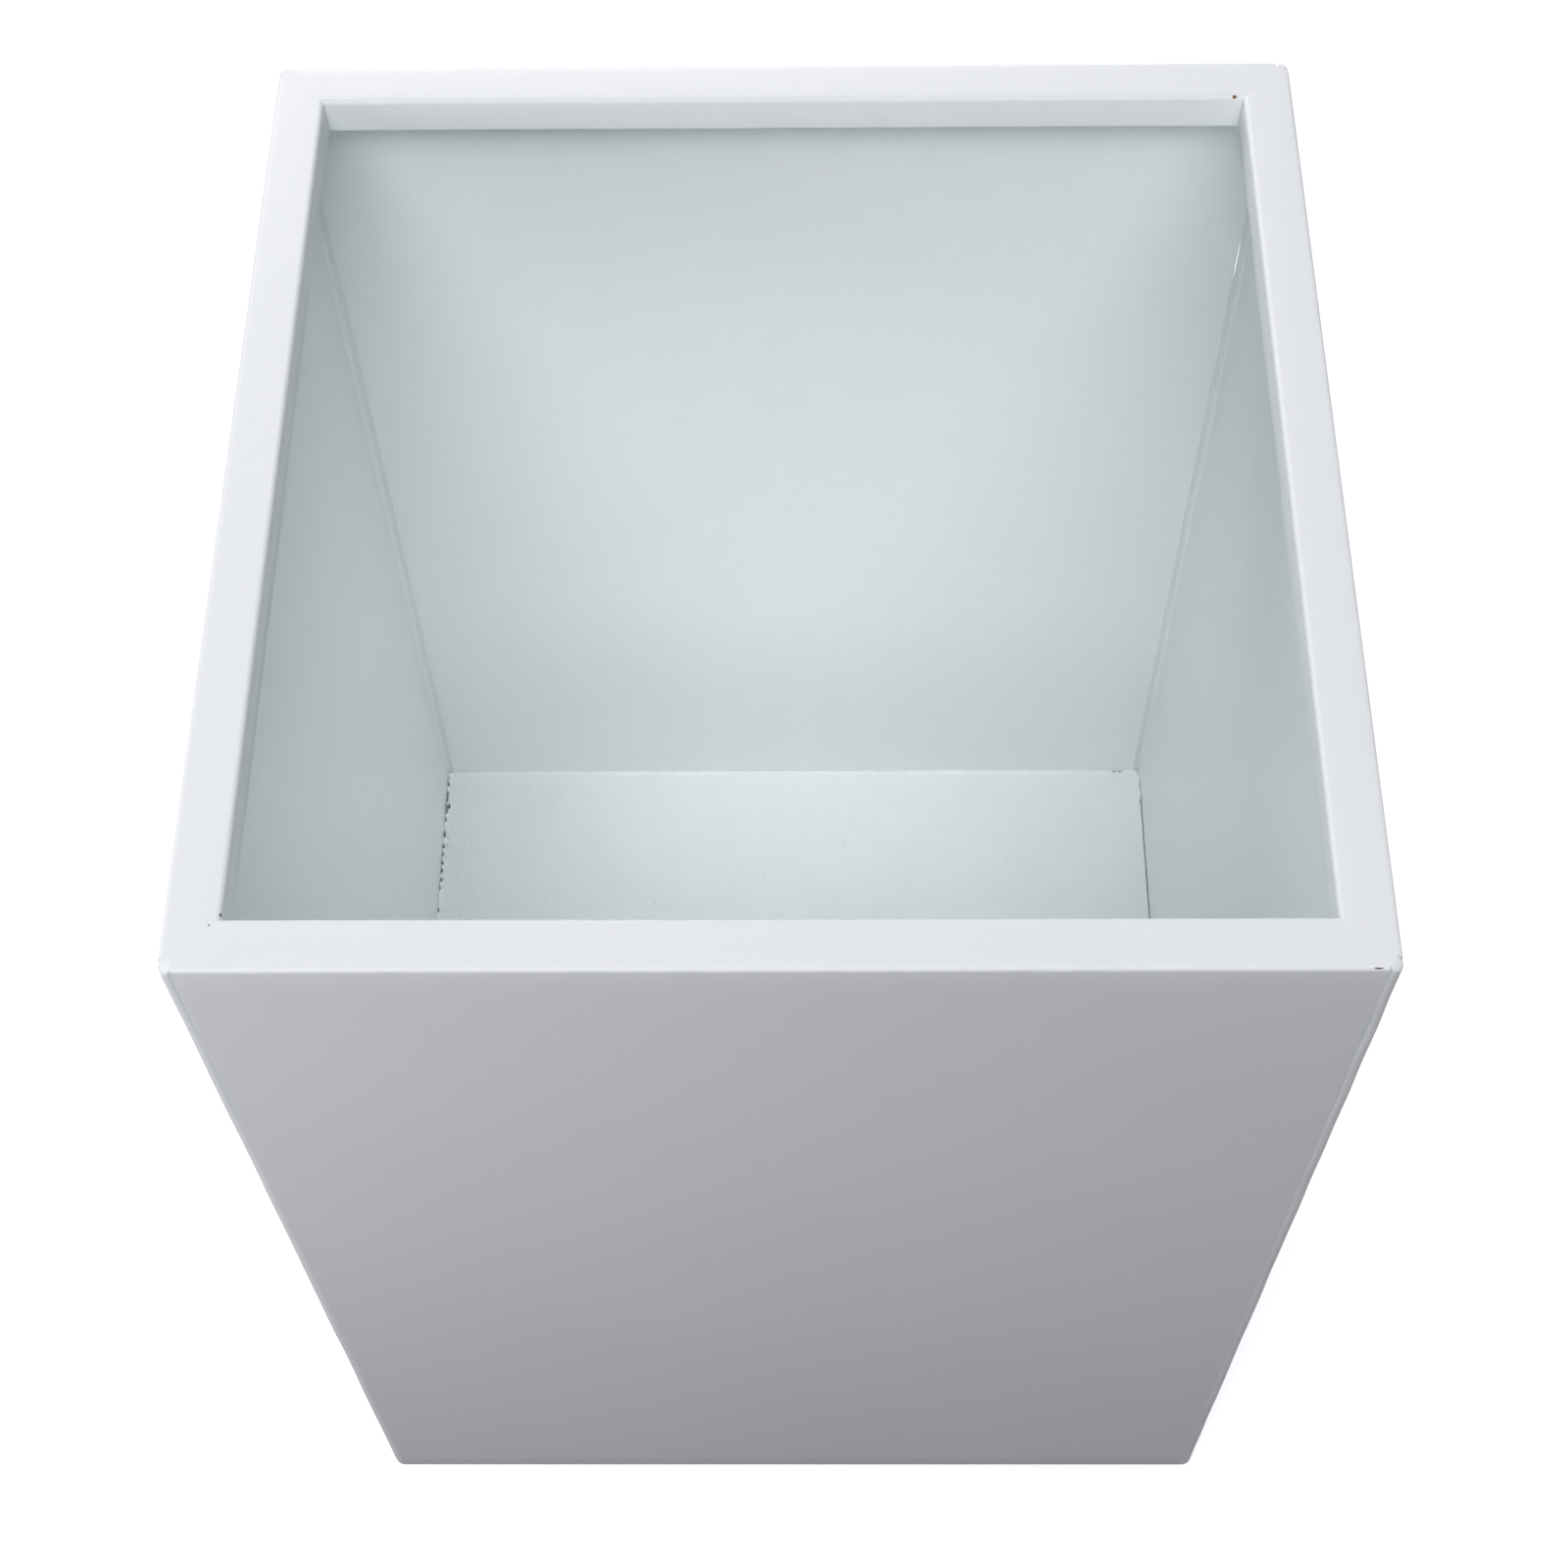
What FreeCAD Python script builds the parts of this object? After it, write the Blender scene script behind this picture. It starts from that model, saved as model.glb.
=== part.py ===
import FreeCAD, Part
import math
import os

import Sketcher

# Tall square planter box in powder-coated sheet steel.
#
# Four folded walls, each one sheet with a turned-in rim, a lip that hangs from the rim and a
# bottom return, are joined by four full-height corner seams.  An inverted tray makes the floor.
# It stands on the bottom returns, is stitched to them from below and carries two top-hat
# stiffeners under it.  A rubber plug closes the drain, and the box stands on four rubber pads.
#
# Frame: +Z up, front wall at -Y, origin on the ground under the middle of the box.
# Millimetres throughout.

DRIVING_SIZES = (
    ("width", 500.0, "outside, across the front"),
    ("depth", 500.0, "outside, front to back"),
    ("body_height", 700.0, "steel box, bottom return to rim"),
    ("gauge", 1.5, "sheet thickness, coating included"),
    ("bend_radius", 2.5, "outside radius of every wall bend"),
    ("corner_radius", 6.0, "outside radius of the dressed corner seams"),
    ("rim_width", 24.0, "rim, from the outer face to the opening"),
    ("lip_height", 20.0, "lip, from the rim's top to its free edge"),
    ("return_width", 20.0, "bottom return, from the outer face inwards"),
    ("floor_rise", 15.0, "bottom return's underside to the floor's top"),
    ("floor_gap", 1.0, "between the tray's skirt and the wall, clear of the wall's bend"),
    ("tray_bend", 2.0, "outside radius of the tray's bends"),
    ("tray_corner", 3.5, "radius of the tray's corners in plan"),
    ("drain_diameter", 25.0, "hole in the middle of the floor"),
    ("plug_head_diameter", 36.0, "drain plug above the floor"),
    ("plug_head_height", 3.2, "drain plug above the floor"),
    ("plug_dish", 1.2, "depth of the dish in the plug's head"),
    ("plug_barb", 1.5, "how far the barb stands out past the hole"),
    ("plug_tail", 8.0, "length of the plug under the floor"),
    ("hat_crown", 30.0, "top-hat stiffener, width of its closed side"),
    ("hat_foot", 15.0, "top-hat stiffener, width of each foot"),
    ("hat_spacing", 200.0, "between the two stiffeners' middles"),
    ("hat_end_gap", 1.5, "between a stiffener's end and the skirt"),
    ("stitch_radius", 3.0, "leg of each stitch bead"),
    ("stitch_run", 25.0, "length of each stitch bead"),
    ("stitch_pitch", 150.0, "between neighbouring stitch beads"),
    ("pad_diameter", 18.0, "foot pad"),
    ("pad_height", 4.0, "foot pad"),
    ("pad_inset", 13.0, "foot pad's middle from both outer faces"),
    ("pad_chamfer", 1.0, "around the foot pad's tread"),
)

# name of the wall, its quarter turn from the front wall, its length and its standoff
WALLS = (
    ("front_panel", 0, "Sizes.width", "Sizes.depth / 2"),
    ("right_panel", 90, "Sizes.depth", "Sizes.width / 2"),
    ("back_panel", 180, "Sizes.width", "Sizes.depth / 2"),
    ("left_panel", 270, "Sizes.depth", "Sizes.width / 2"),
)

# place of each corner, its side along X and along Y, and its quarter turn from the first
CORNERS = (
    ("front_left", -1, -1, 0),
    ("front_right", 1, -1, 90),
    ("back_right", 1, 1, 180),
    ("back_left", -1, 1, 270),
)

# how far each mitre cut runs past the sheet, so that it leaves no skin behind
CUT_MARGIN = 5.0

doc = FreeCAD.newDocument("planter_box")
sheet = doc.addObject("Spreadsheet::Sheet", "Sizes")
for row, (alias, size, meaning) in enumerate(DRIVING_SIZES, start=1):
    sheet.set(f"A{row}", alias)
    sheet.set(f"B{row}", str(size))
    sheet.set(f"C{row}", meaning)
    sheet.setAlias(f"B{row}", alias)
doc.recompute()

parts = []


def value_of(formula):
    """Return the present value of a formula in the sheet's sizes."""
    return float(sheet.evalExpression(formula))


# ---------------------------------------------------------------- document helpers


def new_body(name):
    """Add a PartDesign body whose label names its file, and list it as a sub-part."""
    body = doc.addObject("PartDesign::Body", name)
    body.Label = name
    parts.append(body)
    return body


def origin_feature(body, role):
    """Return the body's own origin plane or axis with this role."""
    return next(item for item in body.Origin.OriginFeatures if item.Role == role)


def new_sketch(body, role, name):
    """Add a sketch on one of the body's origin planes."""
    sketch = body.newObject("Sketcher::SketchObject", name)
    sketch.AttachmentSupport = (origin_feature(body, role), [""])
    sketch.MapMode = "FlatFace"
    return sketch


def bind(sketch, constraint, formula):
    """Add a dimension to the sketch and bind it to a formula."""
    index = sketch.addConstraint(constraint)
    sketch.setExpression(f"Constraints[{index}]", formula)


def hold(sketch, line, point, axis, formula):
    """Dimension one point of a line from the sketch's origin, along "x" or "y"."""
    distance = value_of(formula)
    if abs(distance) < 1e-9:
        along_axis = -2 if axis == "x" else -1
        sketch.addConstraint(Sketcher.Constraint("PointOnObject", line, point, along_axis))
        return
    kind = "DistanceX" if axis == "x" else "DistanceY"
    bind(sketch, Sketcher.Constraint(kind, -1, 1, line, point, distance), formula)


def draw_folded_outline(sketch, sides):
    """Draw a closed outline of level and upright sides, with a bend between any two of them.

    Each side is (axis, formula, bend): an "x" side is upright and keeps that distance from the
    origin, a "y" side is level, and bend is the formula of the radius that leads to the next
    side, or None for a sharp corner.
    """
    count = len(sides)
    corners = []
    for index, (axis, formula, _bend) in enumerate(sides):
        here = value_of(formula)
        there = value_of(sides[(index + 1) % count][1])
        across, up = (here, there) if axis == "x" else (there, here)
        corners.append(FreeCAD.Vector(across, up, 0))
    ways = [(corners[index] - corners[index - 1]).normalize() for index in range(count)]
    radii = [value_of(bend) if bend else 0.0 for _axis, _formula, bend in sides]

    lines = []
    for index, (axis, _formula, _bend) in enumerate(sides):
        start = corners[index - 1] + ways[index] * radii[index - 1]
        end = corners[index] - ways[index] * radii[index]
        lines.append(sketch.addGeometry(Part.LineSegment(start, end), False))
        direction = "Horizontal" if axis == "y" else "Vertical"
        sketch.addConstraint(Sketcher.Constraint(direction, lines[index]))

    for index, (axis, formula, bend) in enumerate(sides):
        line, next_line = lines[index], lines[(index + 1) % count]
        if bend is None:
            sketch.addConstraint(Sketcher.Constraint("Coincident", line, 2, next_line, 1))
        else:
            draw_bend(sketch, line, next_line, bend)
        hold(sketch, line, 1, axis, formula)


def draw_bend(sketch, line, next_line, bend):
    """Round the corner between two sides of an outline with a tangent arc."""
    first = sketch.Geometry[line]
    second = sketch.Geometry[next_line]
    radius = value_of(bend)
    way_in = (first.EndPoint - first.StartPoint).normalize()
    way_out = (second.EndPoint - second.StartPoint).normalize()
    centre = first.EndPoint + way_out * radius
    turns_left = way_in.cross(way_out).z > 0
    from_point, to_point = first.EndPoint, second.StartPoint
    if not turns_left:
        from_point, to_point = to_point, from_point
    angles = [math.atan2(point.y - centre.y, point.x - centre.x) for point in (from_point, to_point)]
    if angles[1] < angles[0]:
        angles[1] += 2 * math.pi
    circle = Part.Circle(centre, FreeCAD.Vector(0, 0, 1), radius)
    arc = sketch.addGeometry(Part.ArcOfCircle(circle, angles[0], angles[1]), False)
    arc_start, arc_end = (1, 2) if turns_left else (2, 1)
    sketch.addConstraint(Sketcher.Constraint("Tangent", line, 2, arc, arc_start))
    sketch.addConstraint(Sketcher.Constraint("Tangent", arc, arc_end, next_line, 1))
    bind(sketch, Sketcher.Constraint("Radius", arc, radius), bend)


def draw_polygon(sketch, points):
    """Draw a closed polygon whose corners are each held by a formula for x and one for y."""
    count = len(points)
    places = [FreeCAD.Vector(value_of(across), value_of(up), 0) for across, up in points]
    lines = []
    for index in range(count):
        segment = Part.LineSegment(places[index], places[(index + 1) % count])
        lines.append(sketch.addGeometry(segment, False))
    for index, (across, up) in enumerate(points):
        sketch.addConstraint(
            Sketcher.Constraint("Coincident", lines[index - 1], 2, lines[index], 1))
        hold(sketch, lines[index], 1, "x", across)
        hold(sketch, lines[index], 1, "y", up)


def pad_both_ways(body, sketch, formula, name):
    """Pad a section equally to both sides of its sketch."""
    pad = body.newObject("PartDesign::Pad", name)
    pad.Profile = sketch
    pad.SideType = "Symmetric"
    pad.setExpression("Length", formula)
    return pad


def place(feature, turn, across, back, up):
    """Turn a sub-part about Z by a quarter-turn angle and bind where it stands."""
    feature.Placement = FreeCAD.Placement(
        FreeCAD.Vector(0, 0, 0), FreeCAD.Rotation(FreeCAD.Vector(0, 0, 1), turn))
    feature.setExpression("Placement.Base.x", across)
    feature.setExpression("Placement.Base.y", back)
    feature.setExpression("Placement.Base.z", up)


def quarter(turn):
    """Return the cosine and the sine of a whole number of quarter turns."""
    return round(math.cos(math.radians(turn))), round(math.sin(math.radians(turn)))


def turned(turn, across, back):
    """Return the formulas of a point of the front wall after a quarter-turn angle."""
    cosine, sine = quarter(turn)
    return (f"({across}) * ({cosine}) - ({back}) * ({sine})",
            f"({across}) * ({sine}) + ({back}) * ({cosine})")


def volume_after_cut(body, before, name):
    """Return the volume after a cut, or stop if it cut nothing, as one pointing away would."""
    doc.recompute()
    if body.Shape.Volume > before - 1.0:
        raise RuntimeError(f"{name} cut nothing from {body.Label}")
    return body.Shape.Volume


# ---------------------------------------------------------------- walls


def make_wall(name, turn, length, standoff):
    """Fold one wall: bottom return, wall, rim and lip from one sheet, mitred at both ends.

    Its own frame has X along the wall, Y inwards from the outer face and Z up from the
    underside of the bottom return.
    """
    body = new_body(name)
    section = new_sketch(body, "YZ_Plane", f"{name}_section")
    draw_folded_outline(section, (
        ("y", "0", "Sizes.bend_radius"),
        ("x", "0", "Sizes.bend_radius"),
        ("y", "Sizes.body_height", "Sizes.bend_radius"),
        ("x", "Sizes.rim_width", None),
        ("y", "Sizes.body_height - Sizes.lip_height", None),
        ("x", "Sizes.rim_width - Sizes.gauge", "Sizes.bend_radius - Sizes.gauge"),
        ("y", "Sizes.body_height - Sizes.gauge", "Sizes.bend_radius - Sizes.gauge"),
        ("x", "Sizes.gauge", "Sizes.bend_radius - Sizes.gauge"),
        ("y", "Sizes.gauge", None),
        ("x", "Sizes.return_width", None),
    ))
    pad_both_ways(body, section, length, f"{name}_fold")
    doc.recompute()
    folded_volume = body.Shape.Volume

    # The cut follows the mitre from the inside of the corner seam inwards.  The wall itself
    # stops short by the corner radius, where the corner seam takes over.
    mitre = new_sketch(body, "XY_Plane", f"{name}_mitre")
    end = f"{length} / 2"
    past_rim = f"Sizes.rim_width + {CUT_MARGIN}"
    draw_polygon(mitre, (
        (f"{end} - Sizes.corner_radius", f"-{CUT_MARGIN}"),
        (f"{end} + {CUT_MARGIN}", f"-{CUT_MARGIN}"),
        (f"{end} + {CUT_MARGIN}", past_rim),
        (f"{end} - ({past_rim})", past_rim),
        (f"{end} - Sizes.corner_radius", "Sizes.corner_radius"),
    ))
    cut = body.newObject("PartDesign::Pocket", f"{name}_mitre_cut")
    cut.Profile = mitre
    cut.Type = "ThroughAll"
    cut.Reversed = True
    one_mitre_volume = volume_after_cut(body, folded_volume, "the mitre")
    both_ends = body.newObject("PartDesign::Mirrored", f"{name}_both_mitres")
    both_ends.Originals = [cut]
    both_ends.MirrorPlane = (origin_feature(body, "YZ_Plane"), [""])
    body.Tip = both_ends
    volume_after_cut(body, one_mitre_volume, "the second mitre")
    across, back = turned(turn, "0", f"-({standoff})")
    place(body, turn, across, back, "Sizes.pad_height")
    return body


def make_corner_seam(corner, side_x, side_y, turn):
    """Make one corner seam: the dressed weld that joins two walls from bottom to rim.

    The walls' section, out to the corner radius, is carried a quarter turn round the corner,
    so the seam is flush with both walls, with the rim's bend and with the bottom bend.
    """
    body = new_body(f"corner_seam_{corner}")
    section = new_sketch(body, "XZ_Plane", f"corner_{corner}_section")
    draw_folded_outline(section, (
        ("y", "0", "Sizes.bend_radius"),
        ("x", "-Sizes.corner_radius", "Sizes.bend_radius"),
        ("y", "Sizes.body_height", None),
        ("x", "0", None),
        ("y", "Sizes.body_height - Sizes.gauge", "Sizes.bend_radius - Sizes.gauge"),
        ("x", "Sizes.gauge - Sizes.corner_radius", "Sizes.bend_radius - Sizes.gauge"),
        ("y", "Sizes.gauge", None),
        ("x", "0", None),
    ))
    sweep = body.newObject("PartDesign::Revolution", f"corner_{corner}_sweep")
    sweep.Profile = section
    sweep.ReferenceAxis = (section, ["V_Axis"])
    sweep.Angle = 90
    place(body, turn,
          f"{side_x} * (Sizes.width / 2 - Sizes.corner_radius)",
          f"{side_y} * (Sizes.depth / 2 - Sizes.corner_radius)",
          "Sizes.pad_height")
    return body


# ---------------------------------------------------------------- floor


def make_floor_tray():
    """Make the floor: an inverted tray with rounded corners and a drain hole in its middle."""
    body = new_body("floor_tray")
    outline = new_sketch(body, "XY_Plane", "floor_tray_outline")
    half_x = "(Sizes.width / 2 - Sizes.gauge - Sizes.floor_gap)"
    half_y = "(Sizes.depth / 2 - Sizes.gauge - Sizes.floor_gap)"
    draw_folded_outline(outline, (
        ("y", f"-{half_y}", "Sizes.tray_corner"),
        ("x", half_x, "Sizes.tray_corner"),
        ("y", half_y, "Sizes.tray_corner"),
        ("x", f"-{half_x}", "Sizes.tray_corner"),
    ))
    block = body.newObject("PartDesign::Pad", "floor_tray_block")
    block.Profile = outline
    block.setExpression("Length", "Sizes.floor_rise - Sizes.gauge")
    doc.recompute()

    top = block.Shape.BoundBox.ZMax
    top_edges = [f"Edge{number}" for number, edge in enumerate(block.Shape.Edges, start=1)
                 if edge.BoundBox.ZMin > top - 0.01]
    bend = body.newObject("PartDesign::Fillet", "floor_tray_bend")
    bend.Base = (block, top_edges)
    bend.setExpression("Radius", "Sizes.tray_bend")
    doc.recompute()
    solid_volume = body.Shape.Volume

    open_side = [f"Face{number}" for number, face in enumerate(bend.Shape.Faces, start=1)
                 if face.BoundBox.ZMax < 0.01]
    shell = body.newObject("PartDesign::Thickness", "floor_tray_shell")
    shell.Base = (bend, open_side)
    shell.Reversed = True
    shell.setExpression("Value", "Sizes.gauge")
    tray_volume = volume_after_cut(body, solid_volume, "the shell")

    hole = new_sketch(body, "XY_Plane", "floor_tray_drain")
    radius = value_of("Sizes.drain_diameter / 2")
    ring = Part.Circle(FreeCAD.Vector(0, 0, 0), FreeCAD.Vector(0, 0, 1), radius)
    circle = hole.addGeometry(ring, False)
    hole.addConstraint(Sketcher.Constraint("Coincident", circle, 3, -1, 1))
    bind(hole, Sketcher.Constraint("Radius", circle, radius), "Sizes.drain_diameter / 2")
    drain = body.newObject("PartDesign::Pocket", "floor_tray_drain_cut")
    drain.Profile = hole
    drain.Type = "ThroughAll"
    drain.Reversed = True
    volume_after_cut(body, tray_volume, "the drain")
    place(body, 0, "0", "0", "Sizes.pad_height + Sizes.gauge")
    return body


def make_stiffener(name, side_y):
    """Fold one top-hat stiffener that runs across the underside of the floor.

    Its own frame has X along it and Z up from the floor's underside, so the feet lie just
    below zero and the closed side is level with the top of the bottom returns.
    """
    body = new_body(name)
    section = new_sketch(body, "YZ_Plane", f"{name}_section")
    web = "Sizes.hat_crown / 2"
    foot = "(Sizes.hat_crown / 2 + Sizes.hat_foot)"
    drop = "(Sizes.floor_rise - 2 * Sizes.gauge)"
    outside = "Sizes.bend_radius"
    inside = "Sizes.bend_radius - Sizes.gauge"
    draw_folded_outline(section, (
        ("y", "0", outside),
        ("x", f"Sizes.gauge - {web}", inside),
        ("y", f"Sizes.gauge - {drop}", inside),
        ("x", f"{web} - Sizes.gauge", outside),
        ("y", "0", None),
        ("x", foot, None),
        ("y", "-Sizes.gauge", inside),
        ("x", web, outside),
        ("y", f"-{drop}", outside),
        ("x", f"-{web}", inside),
        ("y", "-Sizes.gauge", None),
        ("x", f"-{foot}", None),
    ))
    length = "Sizes.width - 4 * Sizes.gauge - 2 * Sizes.floor_gap - 2 * Sizes.hat_end_gap"
    pad_both_ways(body, section, length, f"{name}_fold")
    place(body, 0, "0", f"{side_y} * Sizes.hat_spacing / 2",
          "Sizes.pad_height + Sizes.floor_rise - Sizes.gauge")
    return body


# ---------------------------------------------------------------- stitch beads


def make_bead(name, turn, flipped, across, back, up):
    """Make one stitch bead: a quarter-round rod lying in the corner between two sheets.

    The bead starts at the given point of the front wall's frame, runs along X and fills the
    corner inwards and up, or inwards and down when it is flipped.  The turn carries it to
    another wall.
    """
    bead = doc.addObject("Part::Cylinder", name)
    bead.Angle = 90
    bead.setExpression("Radius", "Sizes.stitch_radius")
    bead.setExpression("Height", "Sizes.stitch_run")
    along = FreeCAD.Vector(1, 0, 0)
    inwards = FreeCAD.Vector(0, 1, 0)
    upwards = FreeCAD.Vector(0, 0, 1)
    first, second = (-upwards, inwards) if flipped else (inwards, upwards)
    lying = FreeCAD.Rotation(first, second, along, "ZXY")
    about_z = FreeCAD.Rotation(FreeCAD.Vector(0, 0, 1), turn)
    bead.Placement = FreeCAD.Placement(FreeCAD.Vector(0, 0, 0), about_z * lying)
    world_x, world_y = turned(turn, across, back)
    bead.setExpression("Placement.Base.x", world_x)
    bead.setExpression("Placement.Base.y", world_y)
    bead.setExpression("Placement.Base.z", up)
    return bead


def make_floor_stitches():
    """Join the tray's skirt to the bottom returns: three beads inside each side."""
    beads = []
    for name, turn, _length, standoff in WALLS:
        for step in (-1, 0, 1):
            beads.append(make_bead(
                f"{name}_stitch_{step + 2}", turn, False,
                f"{step} * Sizes.stitch_pitch - Sizes.stitch_run / 2",
                f"2 * Sizes.gauge + Sizes.floor_gap - {standoff}",
                "Sizes.pad_height + Sizes.gauge"))
    return group_of("floor_stitches", beads)


def make_stiffener_stitches():
    """Join the stiffeners' feet to the floor: three beads along each foot."""
    beads = []
    foot = "Sizes.hat_crown / 2 + Sizes.hat_foot"
    outer_edge = f"Sizes.hat_spacing / 2 + {foot}"
    inner_edge = f"{foot} - Sizes.hat_spacing / 2"
    for name, turn, reach in (
        ("back_outer", 0, outer_edge),
        ("back_inner", 180, inner_edge),
        ("front_outer", 180, outer_edge),
        ("front_inner", 0, inner_edge),
    ):
        for step in (-1, 0, 1):
            beads.append(make_bead(
                f"hat_{name}_{step + 2}", turn, True,
                f"{step} * Sizes.stitch_pitch - Sizes.stitch_run / 2", reach,
                "Sizes.pad_height + Sizes.floor_rise - Sizes.gauge"))
    return group_of("stiffener_stitches", beads)


def group_of(name, members):
    """Gather separate solids of one kind into one sub-part."""
    group = doc.addObject("Part::Compound", name)
    group.Label = name
    group.Links = members
    parts.append(group)
    return group


# ---------------------------------------------------------------- rubber pieces


def make_turned(name, points, up, across="0", back="0"):
    """Turn a rubber piece about Z from a half section of (radius, height) formulas."""
    body = new_body(name)
    section = new_sketch(body, "XZ_Plane", f"{name}_section")
    draw_polygon(section, points)
    turning = body.newObject("PartDesign::Revolution", f"{name}_turning")
    turning.Profile = section
    turning.ReferenceAxis = (section, ["V_Axis"])
    turning.Angle = 360
    place(body, 0, across, back, up)
    return body


def make_drain_plug():
    """Make the drain plug: dished head on the floor, stem in the hole, barb below it."""
    head = "Sizes.plug_head_diameter / 2"
    stem = "Sizes.drain_diameter / 2"
    top = "Sizes.plug_head_height"
    dish = "Sizes.plug_dish"
    return make_turned("drain_plug", (
        ("0", "-Sizes.gauge - Sizes.plug_tail"),
        (f"{stem} - 2 * Sizes.plug_barb", "-Sizes.gauge - Sizes.plug_tail"),
        (f"{stem} + Sizes.plug_barb", "-Sizes.gauge - Sizes.plug_barb"),
        (f"{stem} + Sizes.plug_barb", "-Sizes.gauge"),
        (stem, "-Sizes.gauge"),
        (stem, "0"),
        (head, "0"),
        (head, f"{top} - {dish}"),
        (f"{head} - {dish}", top),
        (f"{head} - 4 * {dish}", top),
        (f"{head} - 6 * {dish}", f"{top} - {dish}"),
        ("0", f"{top} - {dish}"),
    ), "Sizes.pad_height + Sizes.floor_rise")


def make_foot_pad(corner, side_x, side_y):
    """Make one foot pad, a rubber disc under the bottom returns at a corner."""
    radius = "Sizes.pad_diameter / 2"
    return make_turned(f"foot_pad_{corner}", (
        ("0", "0"),
        (f"{radius} - Sizes.pad_chamfer", "0"),
        (radius, "Sizes.pad_chamfer"),
        (radius, "Sizes.pad_height"),
        ("0", "Sizes.pad_height"),
    ), "0",
        f"{side_x} * (Sizes.width / 2 - Sizes.pad_inset)",
        f"{side_y} * (Sizes.depth / 2 - Sizes.pad_inset)")


# ---------------------------------------------------------------- assembly and export

for wall in WALLS:
    make_wall(*wall)
for corner_name, sign_x, sign_y, corner_turn in CORNERS:
    make_corner_seam(corner_name, sign_x, sign_y, corner_turn)
    make_foot_pad(corner_name, sign_x, sign_y)
make_floor_tray()
make_stiffener("floor_stiffener_front", -1)
make_stiffener("floor_stiffener_back", 1)
make_floor_stitches()
make_stiffener_stitches()
make_drain_plug()

doc.recompute()
for item in doc.Objects:
    if "Invalid" in item.State or "Error" in item.State:
        raise RuntimeError(f"{item.Label} did not compute: {item.State}")
for part in parts:
    if part.Shape.isNull() or not part.Shape.isValid():
        raise RuntimeError(f"{part.Label} has no valid shape")

os.makedirs("parts", exist_ok=True)
for part in parts:
    part.Shape.exportStep(f"parts/{part.Label}.step")
    box = part.Shape.BoundBox
    print(f"{part.Label}: {len(part.Shape.Solids)} solid(s), {part.Shape.Volume / 1000:.2f} cm3, "
          f"x {box.XMin:.2f}..{box.XMax:.2f}, y {box.YMin:.2f}..{box.YMax:.2f}, "
          f"z {box.ZMin:.2f}..{box.ZMax:.2f}")
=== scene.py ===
"""A square planter box of folded sheet steel, welded, dressed and powder coated.

Every piece is worked out in metres in the frame of the CAD model: four folded walls, four
dressed corner seams, the raised floor with its stiffeners and stitch welds, the rubber drain
plug and four foot pads.  Then come the stage floor, the studio lights and the camera.
"""

import logging
import math
from dataclasses import dataclass, field
from enum import Enum
from typing import Sequence

import bmesh
import bpy
import numpy as np
from mathutils import Matrix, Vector
from numpy.typing import NDArray


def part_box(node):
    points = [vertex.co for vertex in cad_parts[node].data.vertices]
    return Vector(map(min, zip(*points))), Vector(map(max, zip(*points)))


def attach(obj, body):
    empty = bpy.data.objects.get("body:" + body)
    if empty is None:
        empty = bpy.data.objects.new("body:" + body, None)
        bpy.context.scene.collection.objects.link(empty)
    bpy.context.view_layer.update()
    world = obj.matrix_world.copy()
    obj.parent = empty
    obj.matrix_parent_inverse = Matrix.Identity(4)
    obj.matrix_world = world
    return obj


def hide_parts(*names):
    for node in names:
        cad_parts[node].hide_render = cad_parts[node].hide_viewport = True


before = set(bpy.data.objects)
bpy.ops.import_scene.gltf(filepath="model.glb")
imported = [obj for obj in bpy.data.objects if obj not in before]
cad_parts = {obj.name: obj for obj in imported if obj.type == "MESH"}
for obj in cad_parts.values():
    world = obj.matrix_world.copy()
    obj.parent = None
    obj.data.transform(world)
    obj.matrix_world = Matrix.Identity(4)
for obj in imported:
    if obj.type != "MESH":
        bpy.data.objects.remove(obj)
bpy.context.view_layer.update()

log = logging.getLogger("planter")

Array = NDArray[np.float64]
Point = tuple[float, float, float]
Colour = tuple[float, float, float]

MM = 0.001
BODY = "root"
DRESSING = "dressing"
STAGE_GLOSS = (0.85, 0.95)
DIFFUSE_BOUNCES = 6
MERGE_DISTANCE = 2e-7


class Side(Enum):
    """The four walls, each with the turn in degrees that carries the front wall to it."""

    FRONT = 0
    RIGHT = 90
    BACK = 180
    LEFT = 270


class Corner(Enum):
    """The four upright corners, each with the signs of its X and Y."""

    FRONT_LEFT = (-1, -1)
    FRONT_RIGHT = (1, -1)
    BACK_RIGHT = (1, 1)
    BACK_LEFT = (-1, 1)


class Blemish(Enum):
    """Kinds of small flaw; the value is the material slot on the piece."""

    NIB = 0
    # A pit is drawn as a near-black drop: painted shade standing in for the hollow of a pit in
    # the coat.
    SHADED_PIT = 1
    RUST = 2


# ---------------------------------------------------------------- shared shape tools


@dataclass
class Surface:
    """One closed shell: points, four-sided faces, and how far each point was dressed by hand."""

    points: Array
    quads: NDArray[np.int64]
    dressing: Array
    slot: int = 0

    def outward(self) -> "Surface":
        """Return the shell with its faces turned outwards.

        The signed volume is a sixth of the sum of each face triangle's triple product; where it
        is negative, every face is read backwards.

        Returns:
            The same shell, facing outwards.
        """
        quads = self.quads
        first, second, third, fourth = (self.points[quads[:, k]] for k in range(4))
        volume = np.einsum("ij,ij->i", first, np.cross(second, third)).sum()
        volume += np.einsum("ij,ij->i", first, np.cross(third, fourth)).sum()
        if volume < 0:
            quads = quads[:, ::-1]
        return Surface(self.points, quads, self.dressing, self.slot)


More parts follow.
